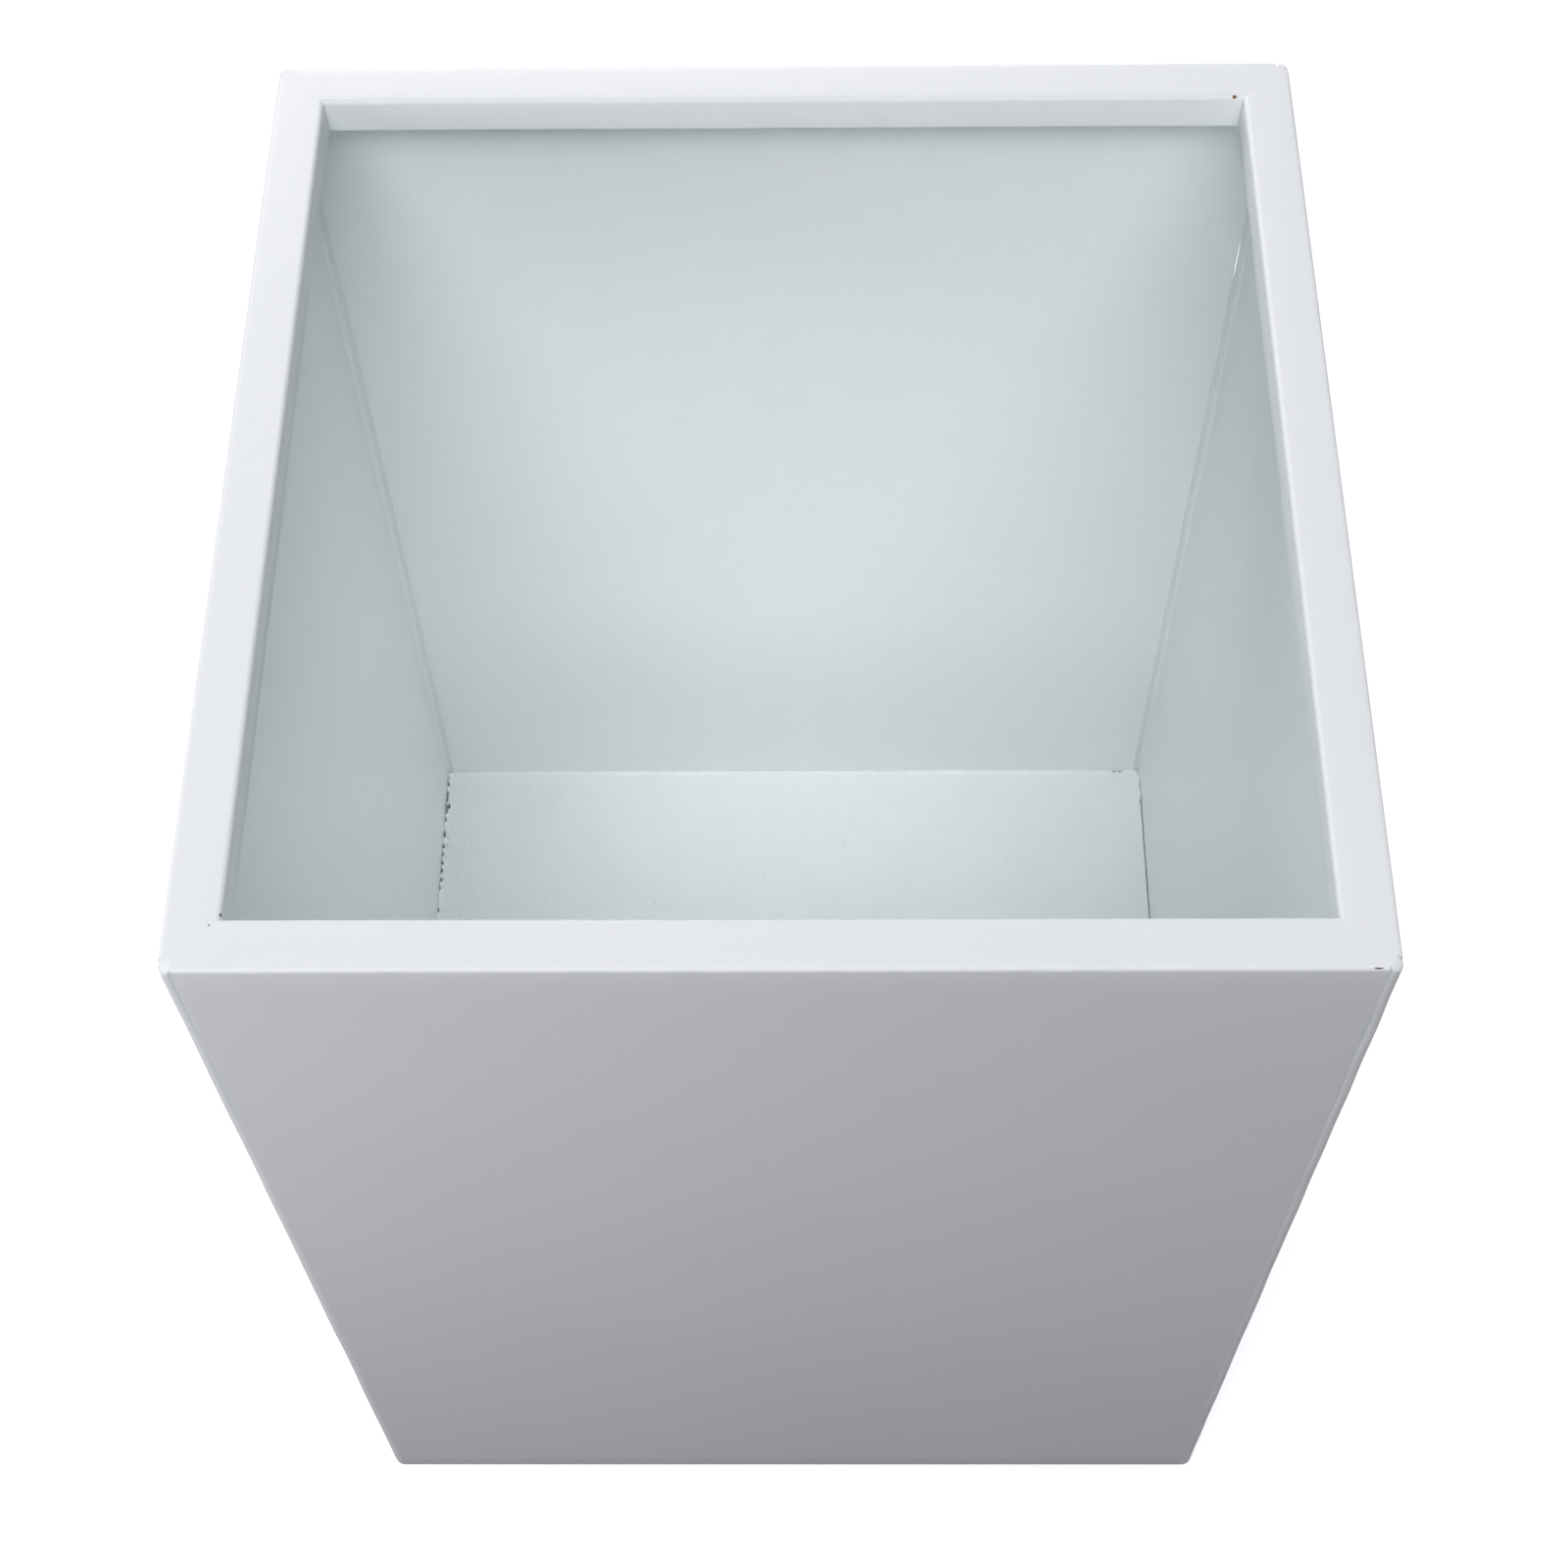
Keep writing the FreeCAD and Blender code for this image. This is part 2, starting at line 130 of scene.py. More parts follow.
def waves(x: Array, y: Array, seed: int, length: float) -> Array:
    """Return a smooth random field between -1 and 1.

    The field is the sum of seven cosines over the plane, each with its own seeded direction,
    wavelength and phase, divided by the root of seven and held within -1 and 1.

    Args:
        x: First coordinate of each point.
        y: Second coordinate of each point.
        seed: Number that fixes the random choices.
        length: Typical wavelength.

    Returns:
        The field's value at each point.
    """
    rng = np.random.default_rng(seed)
    heading = rng.uniform(0, 2 * math.pi, 7)
    phase = rng.uniform(0, 2 * math.pi, 7)
    number = 2 * math.pi / (length * rng.uniform(0.7, 1.7, 7))
    angle = (np.asarray(x)[..., None] * (number * np.cos(heading))
             + np.asarray(y)[..., None] * (number * np.sin(heading)) + phase)
    return np.clip(np.cos(angle).sum(-1) / math.sqrt(7), -1, 1)


def ease(value: Array, start: float, end: float) -> Array:
    """Return a smooth step: three t squared less two t cubed, with t held within 0 and 1.

    Args:
        value: Values to step over.
        start: Value at which t is 0.
        end: Value at which t is 1.

    Returns:
        The step at each value.
    """
    t = np.clip((value - start) / (end - start), 0, 1)
    return t * t * (3 - 2 * t)


def dent(x: Array, centre: float, width: float) -> Array:
    """Return a bell curve: the exponential of minus the squared distance over width.

    Args:
        x: Values to take the curve at.
        centre: Value where the curve is 1.
        width: Distance at which it has fallen to 0.37.

    Returns:
        The curve at each value.
    """
    return np.exp(-((x - centre) / width) ** 2)


def folded_line(corners: Sequence[tuple[float, float]], radii: Sequence[float],
                spacing: float, arc_steps: int = 7) -> tuple[Array, Array, Array]:
    """Return a flat line of straights joined by arcs, as points, left normals and run.

    Each straight ends a tangent length, the radius times the tangent of half the turn, before
    its corner.  Along an arc the heading turns evenly, and the point is the arc's centre less
    or plus the radius times the heading's left normal.

    Args:
        corners: The line's corners, from end to end.
        radii: Radius at each inner corner.
        spacing: Longest step along a straight.
        arc_steps: Points on each arc.

    Returns:
        Points and left normals, one row each, and the distance run to each point.
    """
    nodes = np.asarray(corners, float)
    steps = np.diff(nodes, axis=0)
    lengths = np.hypot(steps[:, 0], steps[:, 1])
    heads = steps / lengths[:, None]
    turns = np.arctan2(heads[:-1, 0] * heads[1:, 1] - heads[:-1, 1] * heads[1:, 0],
                       (heads[:-1] * heads[1:]).sum(1))
    cut = np.concatenate([[0.0], np.asarray(radii) * np.tan(np.abs(turns) / 2), [0.0]])
    points, normals = [], []
    for k, head in enumerate(heads):
        left = np.array([-head[1], head[0]])
        count = max(2, int(math.ceil((lengths[k] - cut[k] - cut[k + 1]) / spacing)) + 1)
        run = np.linspace(cut[k], lengths[k] - cut[k + 1], count)
        points.append(nodes[k] + run[:, None] * head)
        normals.append(np.repeat(left[None], count, axis=0))
        if k < len(turns) and radii[k] > 0:
            side = math.copysign(1.0, turns[k])
            centre = points[-1][-1] + side * radii[k] * left
            angle = math.atan2(head[1], head[0]) + turns[k] * np.linspace(0, 1, arc_steps)[1:-1]
            lefts = np.stack([-np.sin(angle), np.cos(angle)], axis=1)
            points.append(centre - side * radii[k] * lefts)
            normals.append(lefts)
    line = np.concatenate(points)
    run = np.concatenate([[0.0], np.cumsum(np.hypot(*np.diff(line, axis=0).T))])
    return line, np.concatenate(normals), run


def sheet_loop(line: Array, normals: Array, run: Array, gauge: float,
               rounded: bool = True) -> Array:
    """Return the closed outline of a sheet whose middle follows a line.

    The outer face is the line plus its normal times half the gauge, and the inner face is the
    line less it.  At a rounded free edge the half gauge falls along a quarter circle.

    Args:
        line: Middle line of the sheet's section.
        normals: Its left normals, towards the outer face.
        run: Distance run to each point.
        gauge: Sheet thickness.
        rounded: Whether the two free edges are rounded.

    Returns:
        Outer face from start to end, then inner face back, one row each.
    """
    half = np.full(len(run), gauge / 2)
    if rounded:
        near = np.minimum(run, run[-1] - run) / (gauge / 2)
        half *= np.sqrt(np.clip(1 - (1 - np.clip(near, 0, 1)) ** 2, 0.0009, 1))
    outer = line + normals * half[:, None]
    inner = line - normals * half[:, None]
    return np.concatenate([outer, inner[::-1]])


def edge_fine(line: Array, normals: Array, run: Array, gauge: float
              ) -> tuple[Array, Array, Array]:
    """Return the line with extra points inside half a gauge of each free edge.

    Args:
        line: Middle line of the sheet's section.
        normals: Its left normals.
        run: Distance run to each point.
        gauge: Sheet thickness.

    Returns:
        The denser line, its normals and its run.
    """
    reach = gauge / 2 * (1 - np.cos(np.linspace(0, math.pi / 2, 6)))[1:]
    wanted = np.unique(np.concatenate([run, reach, run[-1] - reach]))
    columns = [np.interp(wanted, run, line[:, k]) for k in range(2)]
    columns += [np.interp(wanted, run, normals[:, k]) for k in range(2)]
    return np.stack(columns[:2], 1), np.stack(columns[2:], 1), wanted


def loop_quads(loop: int, stations: int, capped: bool = True) -> NDArray[np.int64]:
    """Return the faces of a closed loop carried along stations.

    Point (i, j) of the grid has number i times stations plus j.  Each side face joins two
    neighbours round the loop at two neighbouring stations.  Each cap face joins points i and
    i + 1 of the first half of the loop to their partners counted back from its end.

    Args:
        loop: Points round the loop, an even number where it is capped.
        stations: Stations along it.
        capped: Whether the two ends are closed.

    Returns:
        One row of four point numbers per face.
    """
    i, j = np.meshgrid(np.arange(loop), np.arange(stations - 1), indexing="ij")
    n = (i + 1) % loop
    sides = np.stack([i * stations + j, n * stations + j,
                      n * stations + j + 1, i * stations + j + 1], -1).reshape(-1, 4)
    if not capped:
        return sides
    k = np.arange(loop // 2 - 1)
    mate = loop - 1 - k
    start = np.stack([mate, mate - 1, k + 1, k], 1) * stations
    end = np.stack([k + 1, mate - 1, mate, k], 1) * stations + stations - 1
    return np.concatenate([sides, start, end])


def turned_about_z(points: Array, degrees: float) -> Array:
    """Return points turned about the box's upright axis.

    Args:
        points: Points to turn, one row each.
        degrees: Turn, counterclockwise from above.

    Returns:
        The turned points.
    """
    c, s = math.cos(math.radians(degrees)), math.sin(math.radians(degrees))
    c, s = round(c, 12), round(s, 12)
    turn = np.array([[c, s, 0], [-s, c, 0], [0, 0, 1.0]])
    return points @ turn


def lathe(profile: Array, segments: int, swell: Array | None = None) -> tuple[Array, Array]:
    """Return a profile of radius and height spun about Z.

    Point (i, j) lies at the profile's radius i, times one plus the swell, in direction j of
    the full turn, at the profile's height i.

    Args:
        profile: Radius and height, from the axis back to the axis.
        segments: Steps in the full turn.
        swell: Share added to the radius at each (i, j), if any.

    Returns:
        Points and the faces between them.
    """
    angle = np.linspace(0, 2 * math.pi, segments, endpoint=False)
    radius = profile[:, :1] * (1 + (0 if swell is None else swell))
    points = np.stack([radius * np.cos(angle), radius * np.sin(angle),
                       profile[:, 1:] + 0 * angle], -1).reshape(-1, 3)
    i, j = np.meshgrid(np.arange(len(profile) - 1), np.arange(segments), indexing="ij")
    n = (j + 1) % segments
    quads = np.stack([i * segments + j, i * segments + n, (i + 1) * segments + n,
                      (i + 1) * segments + j], -1).reshape(-1, 4)
    return points, quads


@dataclass(frozen=True)
class Fleck:
    """One small flaw: where it is, which way it faces, and its size."""

    at: Point
    facing: Point
    size: tuple[float, float]
    height: float
    kind: Blemish = Blemish.NIB

    def surface(self) -> Surface:
        """Build the flaw as a flat drop, half sunk in the coat.

        The drop is a sphere in latitude and longitude, its two sides scaled to the size and its
        third to the height, with a slight three-lobed swell round it.

        Returns:
            The drop's shell.
        """
        up = np.array(self.facing, float)
        up /= np.linalg.norm(up)
        across = np.cross(up, (0.0, 0.0, 1.0) if abs(up[2]) < 0.9 else (0.0, 1.0, 0.0))
        across /= np.linalg.norm(across)
        along = np.cross(up, across)
        latitude, longitude = np.meshgrid(np.linspace(-math.pi / 2, math.pi / 2, 9),
                                          np.linspace(0, 2 * math.pi, 16, endpoint=False),
                                          indexing="ij")
        reach = np.cos(latitude) * (1 + 0.12 * np.cos(3 * longitude + self.at[0] * 9000))
        points = (np.array(self.at)
                  + (reach * np.cos(longitude))[..., None] * across * self.size[0] / 2
                  + (reach * np.sin(longitude))[..., None] * along * self.size[1] / 2
                  + np.sin(latitude)[..., None] * up * self.height).reshape(-1, 3)
        i, j = np.meshgrid(np.arange(8), np.arange(16), indexing="ij")
        n = (j + 1) % 16
        quads = np.stack([i * 16 + j, i * 16 + n, (i + 1) * 16 + n, (i + 1) * 16 + j],
                         -1).reshape(-1, 4)
        return Surface(points, quads, np.zeros(len(points)), self.kind.value).outward()


def make_object(name: str, shells: Sequence[Surface], materials: Sequence[bpy.types.Material],
                node: str, sharp: float = 38.0) -> bpy.types.Object:
    """Put shells into one mesh object that stands for a CAD node.

    Args:
        name: Name of the piece.
        shells: Closed shells, each with its material slot.
        materials: Materials in slot order.
        node: CAD node that the piece replaces.
        sharp: Angle in degrees past which an edge is shaded sharp.

    Returns:
        The finished object.
    """
    starts = np.cumsum([0] + [len(shell.points) for shell in shells[:-1]])
    points = np.concatenate([shell.points for shell in shells])
    quads = np.concatenate([shell.quads + start for shell, start in zip(shells, starts)])
    slots = np.concatenate([np.full(len(shell.quads), shell.slot) for shell in shells])
    mesh = bpy.data.meshes.new(name)
    mesh.vertices.add(len(points))
    mesh.vertices.foreach_set("co", points.astype(np.float32).ravel())
    mesh.loops.add(quads.size)
    mesh.loops.foreach_set("vertex_index", quads.astype(np.int32).ravel())
    mesh.polygons.add(len(quads))
    mesh.polygons.foreach_set("loop_start", np.arange(0, quads.size, 4, dtype=np.int32))
    mesh.polygons.foreach_set("material_index", slots.astype(np.int32))
    mesh.update(calc_edges=True)
    worn = mesh.attributes.new(DRESSING, "FLOAT", "POINT")
    worn.data.foreach_set("value", np.concatenate([s.dressing for s in shells])
                          .astype(np.float32))
    merged = bmesh.new()
    merged.from_mesh(mesh)
    bmesh.ops.remove_doubles(merged, verts=merged.verts, dist=MERGE_DISTANCE)
    merged.to_mesh(mesh)
    merged.free()
    mesh.polygons.foreach_set("use_smooth", np.ones(len(mesh.polygons), dtype=bool))
    mesh.set_sharp_from_angle(angle=math.radians(sharp))
    for material in materials:
        mesh.materials.append(material)
    piece = bpy.data.objects.new(name, mesh)
    bpy.context.scene.collection.objects.link(piece)
    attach(piece, BODY)
    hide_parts(node)
    log.info("%s: %d faces", name, len(mesh.polygons))
    return piece


# ---------------------------------------------------------------- sizes read from the frame


@dataclass(frozen=True)
class BoxSizes:
    """Sizes that the pieces share, in metres."""

    half: float
    foot: float
    top: float
    rim: float
    corner: float
    tray_half: float
    tray_foot: float
    floor_top: float
    lip: float = 20 * MM
    back_fold: float = 20 * MM
    gauge: float = 1.5 * MM
    bend: float = 2.5 * MM

    @classmethod
    def from_frame(cls) -> "BoxSizes":
        """Read the sizes from the CAD nodes' boxes.

        Returns:
            The shared sizes.
        """
        wall_low, wall_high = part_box("front_panel")
        tray_low, tray_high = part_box("floor_tray")
        seam_low, seam_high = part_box("corner_seam_front_left")
        return cls(half=-wall_low.y, foot=wall_low.z, top=wall_high.z,
                   rim=wall_high.y - wall_low.y, corner=seam_high.x - seam_low.x,
                   tray_half=tray_high.x, tray_foot=tray_low.z, floor_top=tray_high.z)

    def settle(self, points: Array) -> Array:
        """Lower the rim by a slow, small wave, the same for walls and seams.

        The drop is 0.12 mm times half of one plus a wave over the plan, and it fades out
        between 30 and 70 mm under the rim.

        Args:
            points: Points near or under the rim.

        Returns:
            The lowered points.
        """
        drop = 0.06 * MM * (1 + waves(points[..., 0], points[..., 1], 11, 0.17))
        share = ease(points[..., 2], self.top - 70 * MM, self.top - 30 * MM)
        moved = points.copy()
        moved[..., 2] -= drop * share
        return moved


# ---------------------------------------------------------------- walls and corner seams


@dataclass
class WallPanel:
    """One folded wall: bottom return, wall, rim and hanging lip from one sheet."""

    side: Side
    sizes: BoxSizes
    bow: float = 0.55 * MM
    lip_wave: float = 0.22 * MM
    lip_slit: float = 0.35 * MM
    bend_bumps: tuple[float, ...] = ()
    flecks: tuple[Fleck, ...] = ()
    spacing: float = 3.2 * MM

    @property
    def name(self) -> str:
        """Name of the CAD node that the wall stands for.

        Returns:
            The node's name.
        """
        return f"{self.side.name.lower()}_panel"

    def section(self) -> Array:
        """Fold the sheet's section: return, wall, rim and lip.

        Returns:
            The closed outline as inward distance and height, one row each.
        """
        s = self.sizes
        mid = s.gauge / 2
        radius = s.bend - mid
        line, normals, run = folded_line(
            ((s.back_fold, s.foot + mid), (s.corner, s.foot + mid), (mid, s.foot + mid),
             (mid, s.top - mid), (s.corner, s.top - mid), (s.rim - mid, s.top - mid),
             (s.rim - mid, s.top - s.lip)),
            (0, radius, radius, 0, radius), 15 * MM, 8)
        line, normals, run = edge_fine(line, normals, run, s.gauge)
        return sheet_loop(line, normals, run, s.gauge)

    def stations(self) -> Array:
        """Divide the wall's length evenly, with finer steps near its ends.

        Returns:
            Steps from -1 to 1.
        """
        even = np.linspace(-1, 1, int(2 * self.sizes.half / self.spacing))
        near = 1 - np.array([0.3, 0.8, 1.6, 2.6, 4.2]) * MM / self.sizes.half
        return np.unique(np.concatenate([even, near, -near]))

    def surface(self) -> Surface:
        """Carry the section along the wall and give it its small unevenness.

        A point's place along the wall is the station times the half length there: half the
        box less the inward distance, or less the corner radius where that is more, which
        mitres the rim, the lip and the return.  The wall bows inwards by a squared sine each
        way times a slow wave; the lip swings by a wave that grows from its bend to its edge.

        Returns:
            The wall's shell, turned to its side of the box.
        """
        s = self.sizes
        outline = self.section()
        inward, height = outline[:, :1], outline[:, 1:]
        lip = ease(inward, s.rim - 3.2 * MM, s.rim - 2.4 * MM) * ease(
            -height, -(s.top - s.bend), -(s.top - s.lip))
        reach = s.half - np.maximum(inward, s.corner)
        reach = reach - self.lip_slit * ease(lip, 0.35, 0.7)
        along = self.stations()[None] * reach
        inward = inward + 0 * along
        height = height + 0 * along

        on_wall = 1 - ease(inward, 2.6 * MM, 3.2 * MM)
        rise = np.clip((height - s.foot) / (s.top - s.foot), 0, 1)
        width = np.clip(along / (2 * (s.half - s.corner)) + 0.5, 0, 1)
        seed = 20 + self.side.value
        field_ = 0.62 + 0.38 * waves(along, height, seed, 0.23)
        inward = inward + (self.bow * on_wall * np.sin(math.pi * rise) ** 1.2
                           * np.sin(math.pi * width) ** 1.2 * field_)
        free = ease(s.half - s.rim - np.abs(along), 0, 25 * MM)
        inward = inward - self.lip_wave * lip * free * (
            0.5 + 0.5 * waves(along, 0 * along, seed + 1, 0.16))

        bend_line = ease(height, s.top - 2.2 * MM, s.top - 0.8 * MM) * (
            1 - ease(inward, 0.9 * MM, 2.2 * MM))
        lump = sum((dent(along, place, 2.4 * MM) for place in self.bend_bumps), 0 * along)
        lump = lump + 0.45 * (0.5 + 0.5 * waves(along, 0 * along, seed + 2, 0.018))
        lump = lump + 0.35 * (0.5 + 0.5 * waves(along, 0 * along, seed + 3, 0.007))
        inward = inward - 0.20 * MM * bend_line * lump
        height = height + 0.20 * MM * bend_line * lump
        inward = np.maximum(inward, 0)
        height = np.minimum(height, s.top)

        lip_bend = ease(inward, s.rim - 3.2 * MM, s.rim - 1.8 * MM) * ease(
            height, s.top - 3.0 * MM, s.top - 1.0 * MM)
        edge = np.maximum(np.maximum(bend_line, lip_bend), ease(lip, 0.9, 1.0))
        mitre = ease(-(reach - np.abs(along)), -7 * MM, 0) * (height > s.top - 25 * MM)
        points = np.stack([along, inward - s.half, height], -1)
        points = turned_about_z(points.reshape(-1, 3), self.side.value)
        points = s.settle(points)
        dressing = np.maximum(0.5 * edge, 0.3 * mitre).reshape(-1)
        return Surface(points, loop_quads(*along.shape), dressing).outward()

    def build(self, materials: Sequence[bpy.types.Material]) -> bpy.types.Object:
        """Make the wall with its flecks and dress it.

        Args:
            materials: Coat, the near-black painted shade of pits, and rust, in that order.

        Returns:
            The wall's object.
        """
        shells = [self.surface()] + [fleck.surface() for fleck in self.flecks]
        return make_object(f"{self.name}_sheet", shells, materials, self.name)


@dataclass
class CornerSeam:
    """One upright corner: the weld run between two walls, dressed by hand to a radius."""

    corner: Corner
    sizes: BoxSizes
    top_radius: float
    foot_radius: float
    flat: float = 0.0
    dome: float = 0.0
    drip: float = 0.0
    inner_radius: float = 1.5 * MM
    uneven: float = 0.5 * MM
    steps: int = 18

    @property
    def name(self) -> str:
        """Name of the CAD node that the seam stands for.

        Returns:
            The node's name.
        """
        return f"corner_seam_{self.corner.name.lower()}"

    def surface(self) -> Surface:
        """Spin the wall's section about the corner's axis and dress it.

        The outline in plan at angle A is the nearer of the square corner and an arc: with k
        the corner size less the dressed radius R, and q the sum of cosine and sine of A, the
        arc lies at k q plus the root of k squared q squared less two k squared plus R squared.
        R runs from the foot's radius to the top's with a slow wave, and the inside has the
        same outline one gauge in, with its own small radius.  A squared sine of twice A
        flattens the middle, domes the top and lets the drip hang, so both sides stay level
        with the walls.

        Returns:
            The seam's shell.
        """
        s = self.sizes
        mid = s.gauge / 2
        radius = s.bend - mid
        line, normals, run = folded_line(
            ((s.corner, s.foot + mid), (mid, s.foot + mid), (mid, s.top - mid),
             (s.corner, s.top - mid)), (radius, radius), 4.5 * MM, 9)
        outline = sheet_loop(line, normals, run, s.gauge, rounded=False)
        inward, height = outline[:, :1], outline[:, 1:]
        angle = np.linspace(0, math.pi / 2, self.steps)[None]
        seed = 60 + 2 * self.corner.value[0] + self.corner.value[1]
        rise = (height - s.foot) / (s.top - s.foot)
        dressed = (self.foot_radius + (self.top_radius - self.foot_radius) * rise
                   + self.uneven * waves(height, 0 * height, seed, 0.09))
        dressed = np.clip(dressed, 1.5 * MM, s.corner)
        outside = np.arange(len(outline))[:, None] < len(line)
        reach = np.where(outside, s.corner, s.corner - s.gauge)
        dressed = np.where(outside, dressed, self.inner_radius)
        spare = reach - dressed
        both = np.cos(angle) + np.sin(angle)
        arc = spare * both + np.sqrt(np.maximum(
            (spare * both) ** 2 - 2 * spare ** 2 + dressed ** 2, 0))
        square = reach / np.maximum(np.cos(angle), np.sin(angle))
        shape = np.minimum(arc, square) / reach
        middle = np.sin(2 * angle) ** 2
        facet = self.flat * (0.7 + 0.3 * waves(height, 0 * height, seed + 1, 0.05))
        shape = shape * (1 - facet * middle * outside)
        out = (s.corner - inward) * shape
        tip = middle * (out / s.corner) ** 2
        height = height - self.dome * tip * ease(height, s.top - 9 * MM, s.top - 1 * MM)
        height = height - self.drip * middle * dent(out, 0.72 * s.corner, 1.6 * MM) * (
            1 - ease(height, s.foot + 1 * MM, s.foot + 3 * MM))
        axis = s.half - s.corner
        sign_x, sign_y = self.corner.value
        points = np.stack([sign_x * (axis + out * np.cos(angle)),
                           sign_y * (axis + out * np.sin(angle)), height], -1)
        points = s.settle(points.reshape(-1, 3))
        fade = 0.35 + 0.65 * middle + 0 * out
        return Surface(points, loop_quads(*out.shape), fade.reshape(-1)).outward()

    def build(self, materials: Sequence[bpy.types.Material]) -> bpy.types.Object:
        """Make the seam and dress it.

        Args:
            materials: Coat, the near-black painted shade of pits, and rust, in that order.

        Returns:
            The seam's object.
        """
        return make_object(f"{self.name}_dressed", [self.surface()], materials, self.name,
                           50.0)


# ---------------------------------------------------------------- floor


@dataclass
class FloorTray:
    """The raised floor: an inverted tray with a drain hole and a powder-filled edge seam."""

    sizes: BoxSizes
    hole: float = 12.5 * MM
    bend: float = 2.0 * MM
    corner: float = 3.5 * MM
    sag: float = 0.5 * MM
    flecks: tuple[Fleck, ...] = ()
    spacing: float = 1.5 * MM

    def bridge(self, side: Side, along: Array) -> Array:
        """Return how far powder and weld close the gap to a wall, from 0 (open) to 1.

        Along the back it is closed but for six short slits near the right-hand corner; along
        the right it is half open, with a few bridges near the back; along the left and the front
        it follows a short random wave, with one long chip and a row of holes on the left.

        Args:
            side: Wall that the seam runs along.
            along: Distance along it in the wall's own direction.

        Returns:
            Closed share at each point.
        """
        ragged = waves(along, 0 * along, 90 + side.value, 7 * MM)
        if side is Side.BACK:
            slits = dent(along, -233 * MM, 6.5 * MM) ** 2 * (
                0.5 + 0.5 * np.cos(2 * math.pi * along / (2.4 * MM)))
            return 1 - ease(slits, 0.25, 0.6)
        if side is Side.RIGHT:
            bridges = ease(along, 222 * MM, 228 * MM) * (
                0.5 + 0.5 * np.cos(2 * math.pi * along / (4.1 * MM)))
            return np.maximum(0.5 + 0.12 * ragged, ease(bridges, 0.3, 0.6))
        if side is Side.LEFT:
            holes = dent(along, -172 * MM, 28 * MM) * (
                0.5 + 0.5 * np.cos(2 * math.pi * along / (6.7 * MM)))
            chip = dent(along, -220 * MM, 2.6 * MM)
            return np.clip(ease(ragged, -0.75, -0.35) - ease(holes, 0.45, 0.7)
                           - 1.4 * ease(chip, 0.3, 0.8), 0, 1)
        return ease(ragged, -0.6, -0.1)

    def outline(self) -> tuple[Array, Array, Array, Array]:
        """Walk round the tray's edge, four straights and four knees.

        Returns:
            Core points of the rounded square, its outward normals, how far the seam is closed
            and how high its bead is, one row each.
        """
        straight = self.sizes.tray_half - self.corner
        cores, normals, closed, lumps = [], [], [], []
        for side in Side:
            along = np.linspace(-straight, straight, int(2 * straight / self.spacing))
            turn = np.linspace(0, math.pi / 2, 8)[1:-1]
            core = np.stack([along, 0 * along - straight, 0 * along], 1)
            out = np.stack([0 * along, 0 * along - 1, 0 * along], 1)
            knee = np.repeat([[straight, -straight, 0.0]], len(turn), axis=0)
            knee_out = np.stack([np.sin(turn), -np.cos(turn), 0 * turn], 1)
            cores.append(turned_about_z(np.concatenate([core, knee]), side.value))
            normals.append(turned_about_z(np.concatenate([out, knee_out]), side.value))
            share = self.bridge(side, along)
            closed.append(np.concatenate([share, np.full(len(turn), 0.85)]))
            height = 0.75 + 0.5 * waves(along, 0 * along, 130 + side.value, 8 * MM)
            height = height + 0.6 * (side is Side.LEFT) * waves(along, 0 * along, 5, 4 * MM)
            lumps.append(np.concatenate([height, np.full(len(turn), 1.1)]))
        return (np.concatenate(cores), np.concatenate(normals),
                np.clip(np.concatenate(closed), 0, 1), np.concatenate(lumps))

    def surface(self) -> Surface:
        """Loft the tray from the drain hole out to its edge, down the skirt and back inside.

        On the floor a point is the hole's circle blended with the rounded square.  Round the
        bend it is the square's core plus its normal times the corner radius less an inset; the
        inset and the height follow a quarter circle where the seam is open and a lumpy bead
        up to the wall where it is closed.  The inside repeats this one gauge in.  The coat is
        roughest along the left wall and eases out over 150 mm.

        Returns:
            The tray's shell.
        """
        s = self.sizes
        core, out, closed, lump = self.outline()
        heading = np.arctan2(core[:, 1] + self.corner * out[:, 1],
                             core[:, 0] + self.corner * out[:, 0])
        circle = np.stack([np.cos(heading), np.sin(heading), 0 * heading], 1) * self.hole
        gap = s.half - s.gauge - s.tray_half
        rings = []

        def flat(share: float, height: float, inset: float) -> Array:
            """Return a ring on the floor.

            Args:
                share: 0 at the drain hole, 1 at the edge.
                height: Height of the ring before the sag.
                inset: Distance from the edge at share 1.

            Returns:
                The ring's points.
            """
            edge = core + out * (self.corner - inset)
            ring = circle * (1 - share) + edge * share
            reach = np.maximum(np.abs(ring[:, 0]), np.abs(ring[:, 1])) / s.tray_half
            dip = self.sag * np.cos(np.clip(reach, 0, 1) * math.pi / 2) ** 2
            ring[:, 2] = height - dip
            return ring

        def hem(inset: Array, height: Array) -> Array:
            """Return a ring round the edge or the skirt.

            Args:
                inset: Distance inside the tray's edge, one value or one per point.
                height: Height of each point.

            Returns:
                The ring's points.
            """
            ring = core + out * (self.corner - np.broadcast_to(inset, len(core)))[:, None]
            ring[:, 2] = height
            return ring

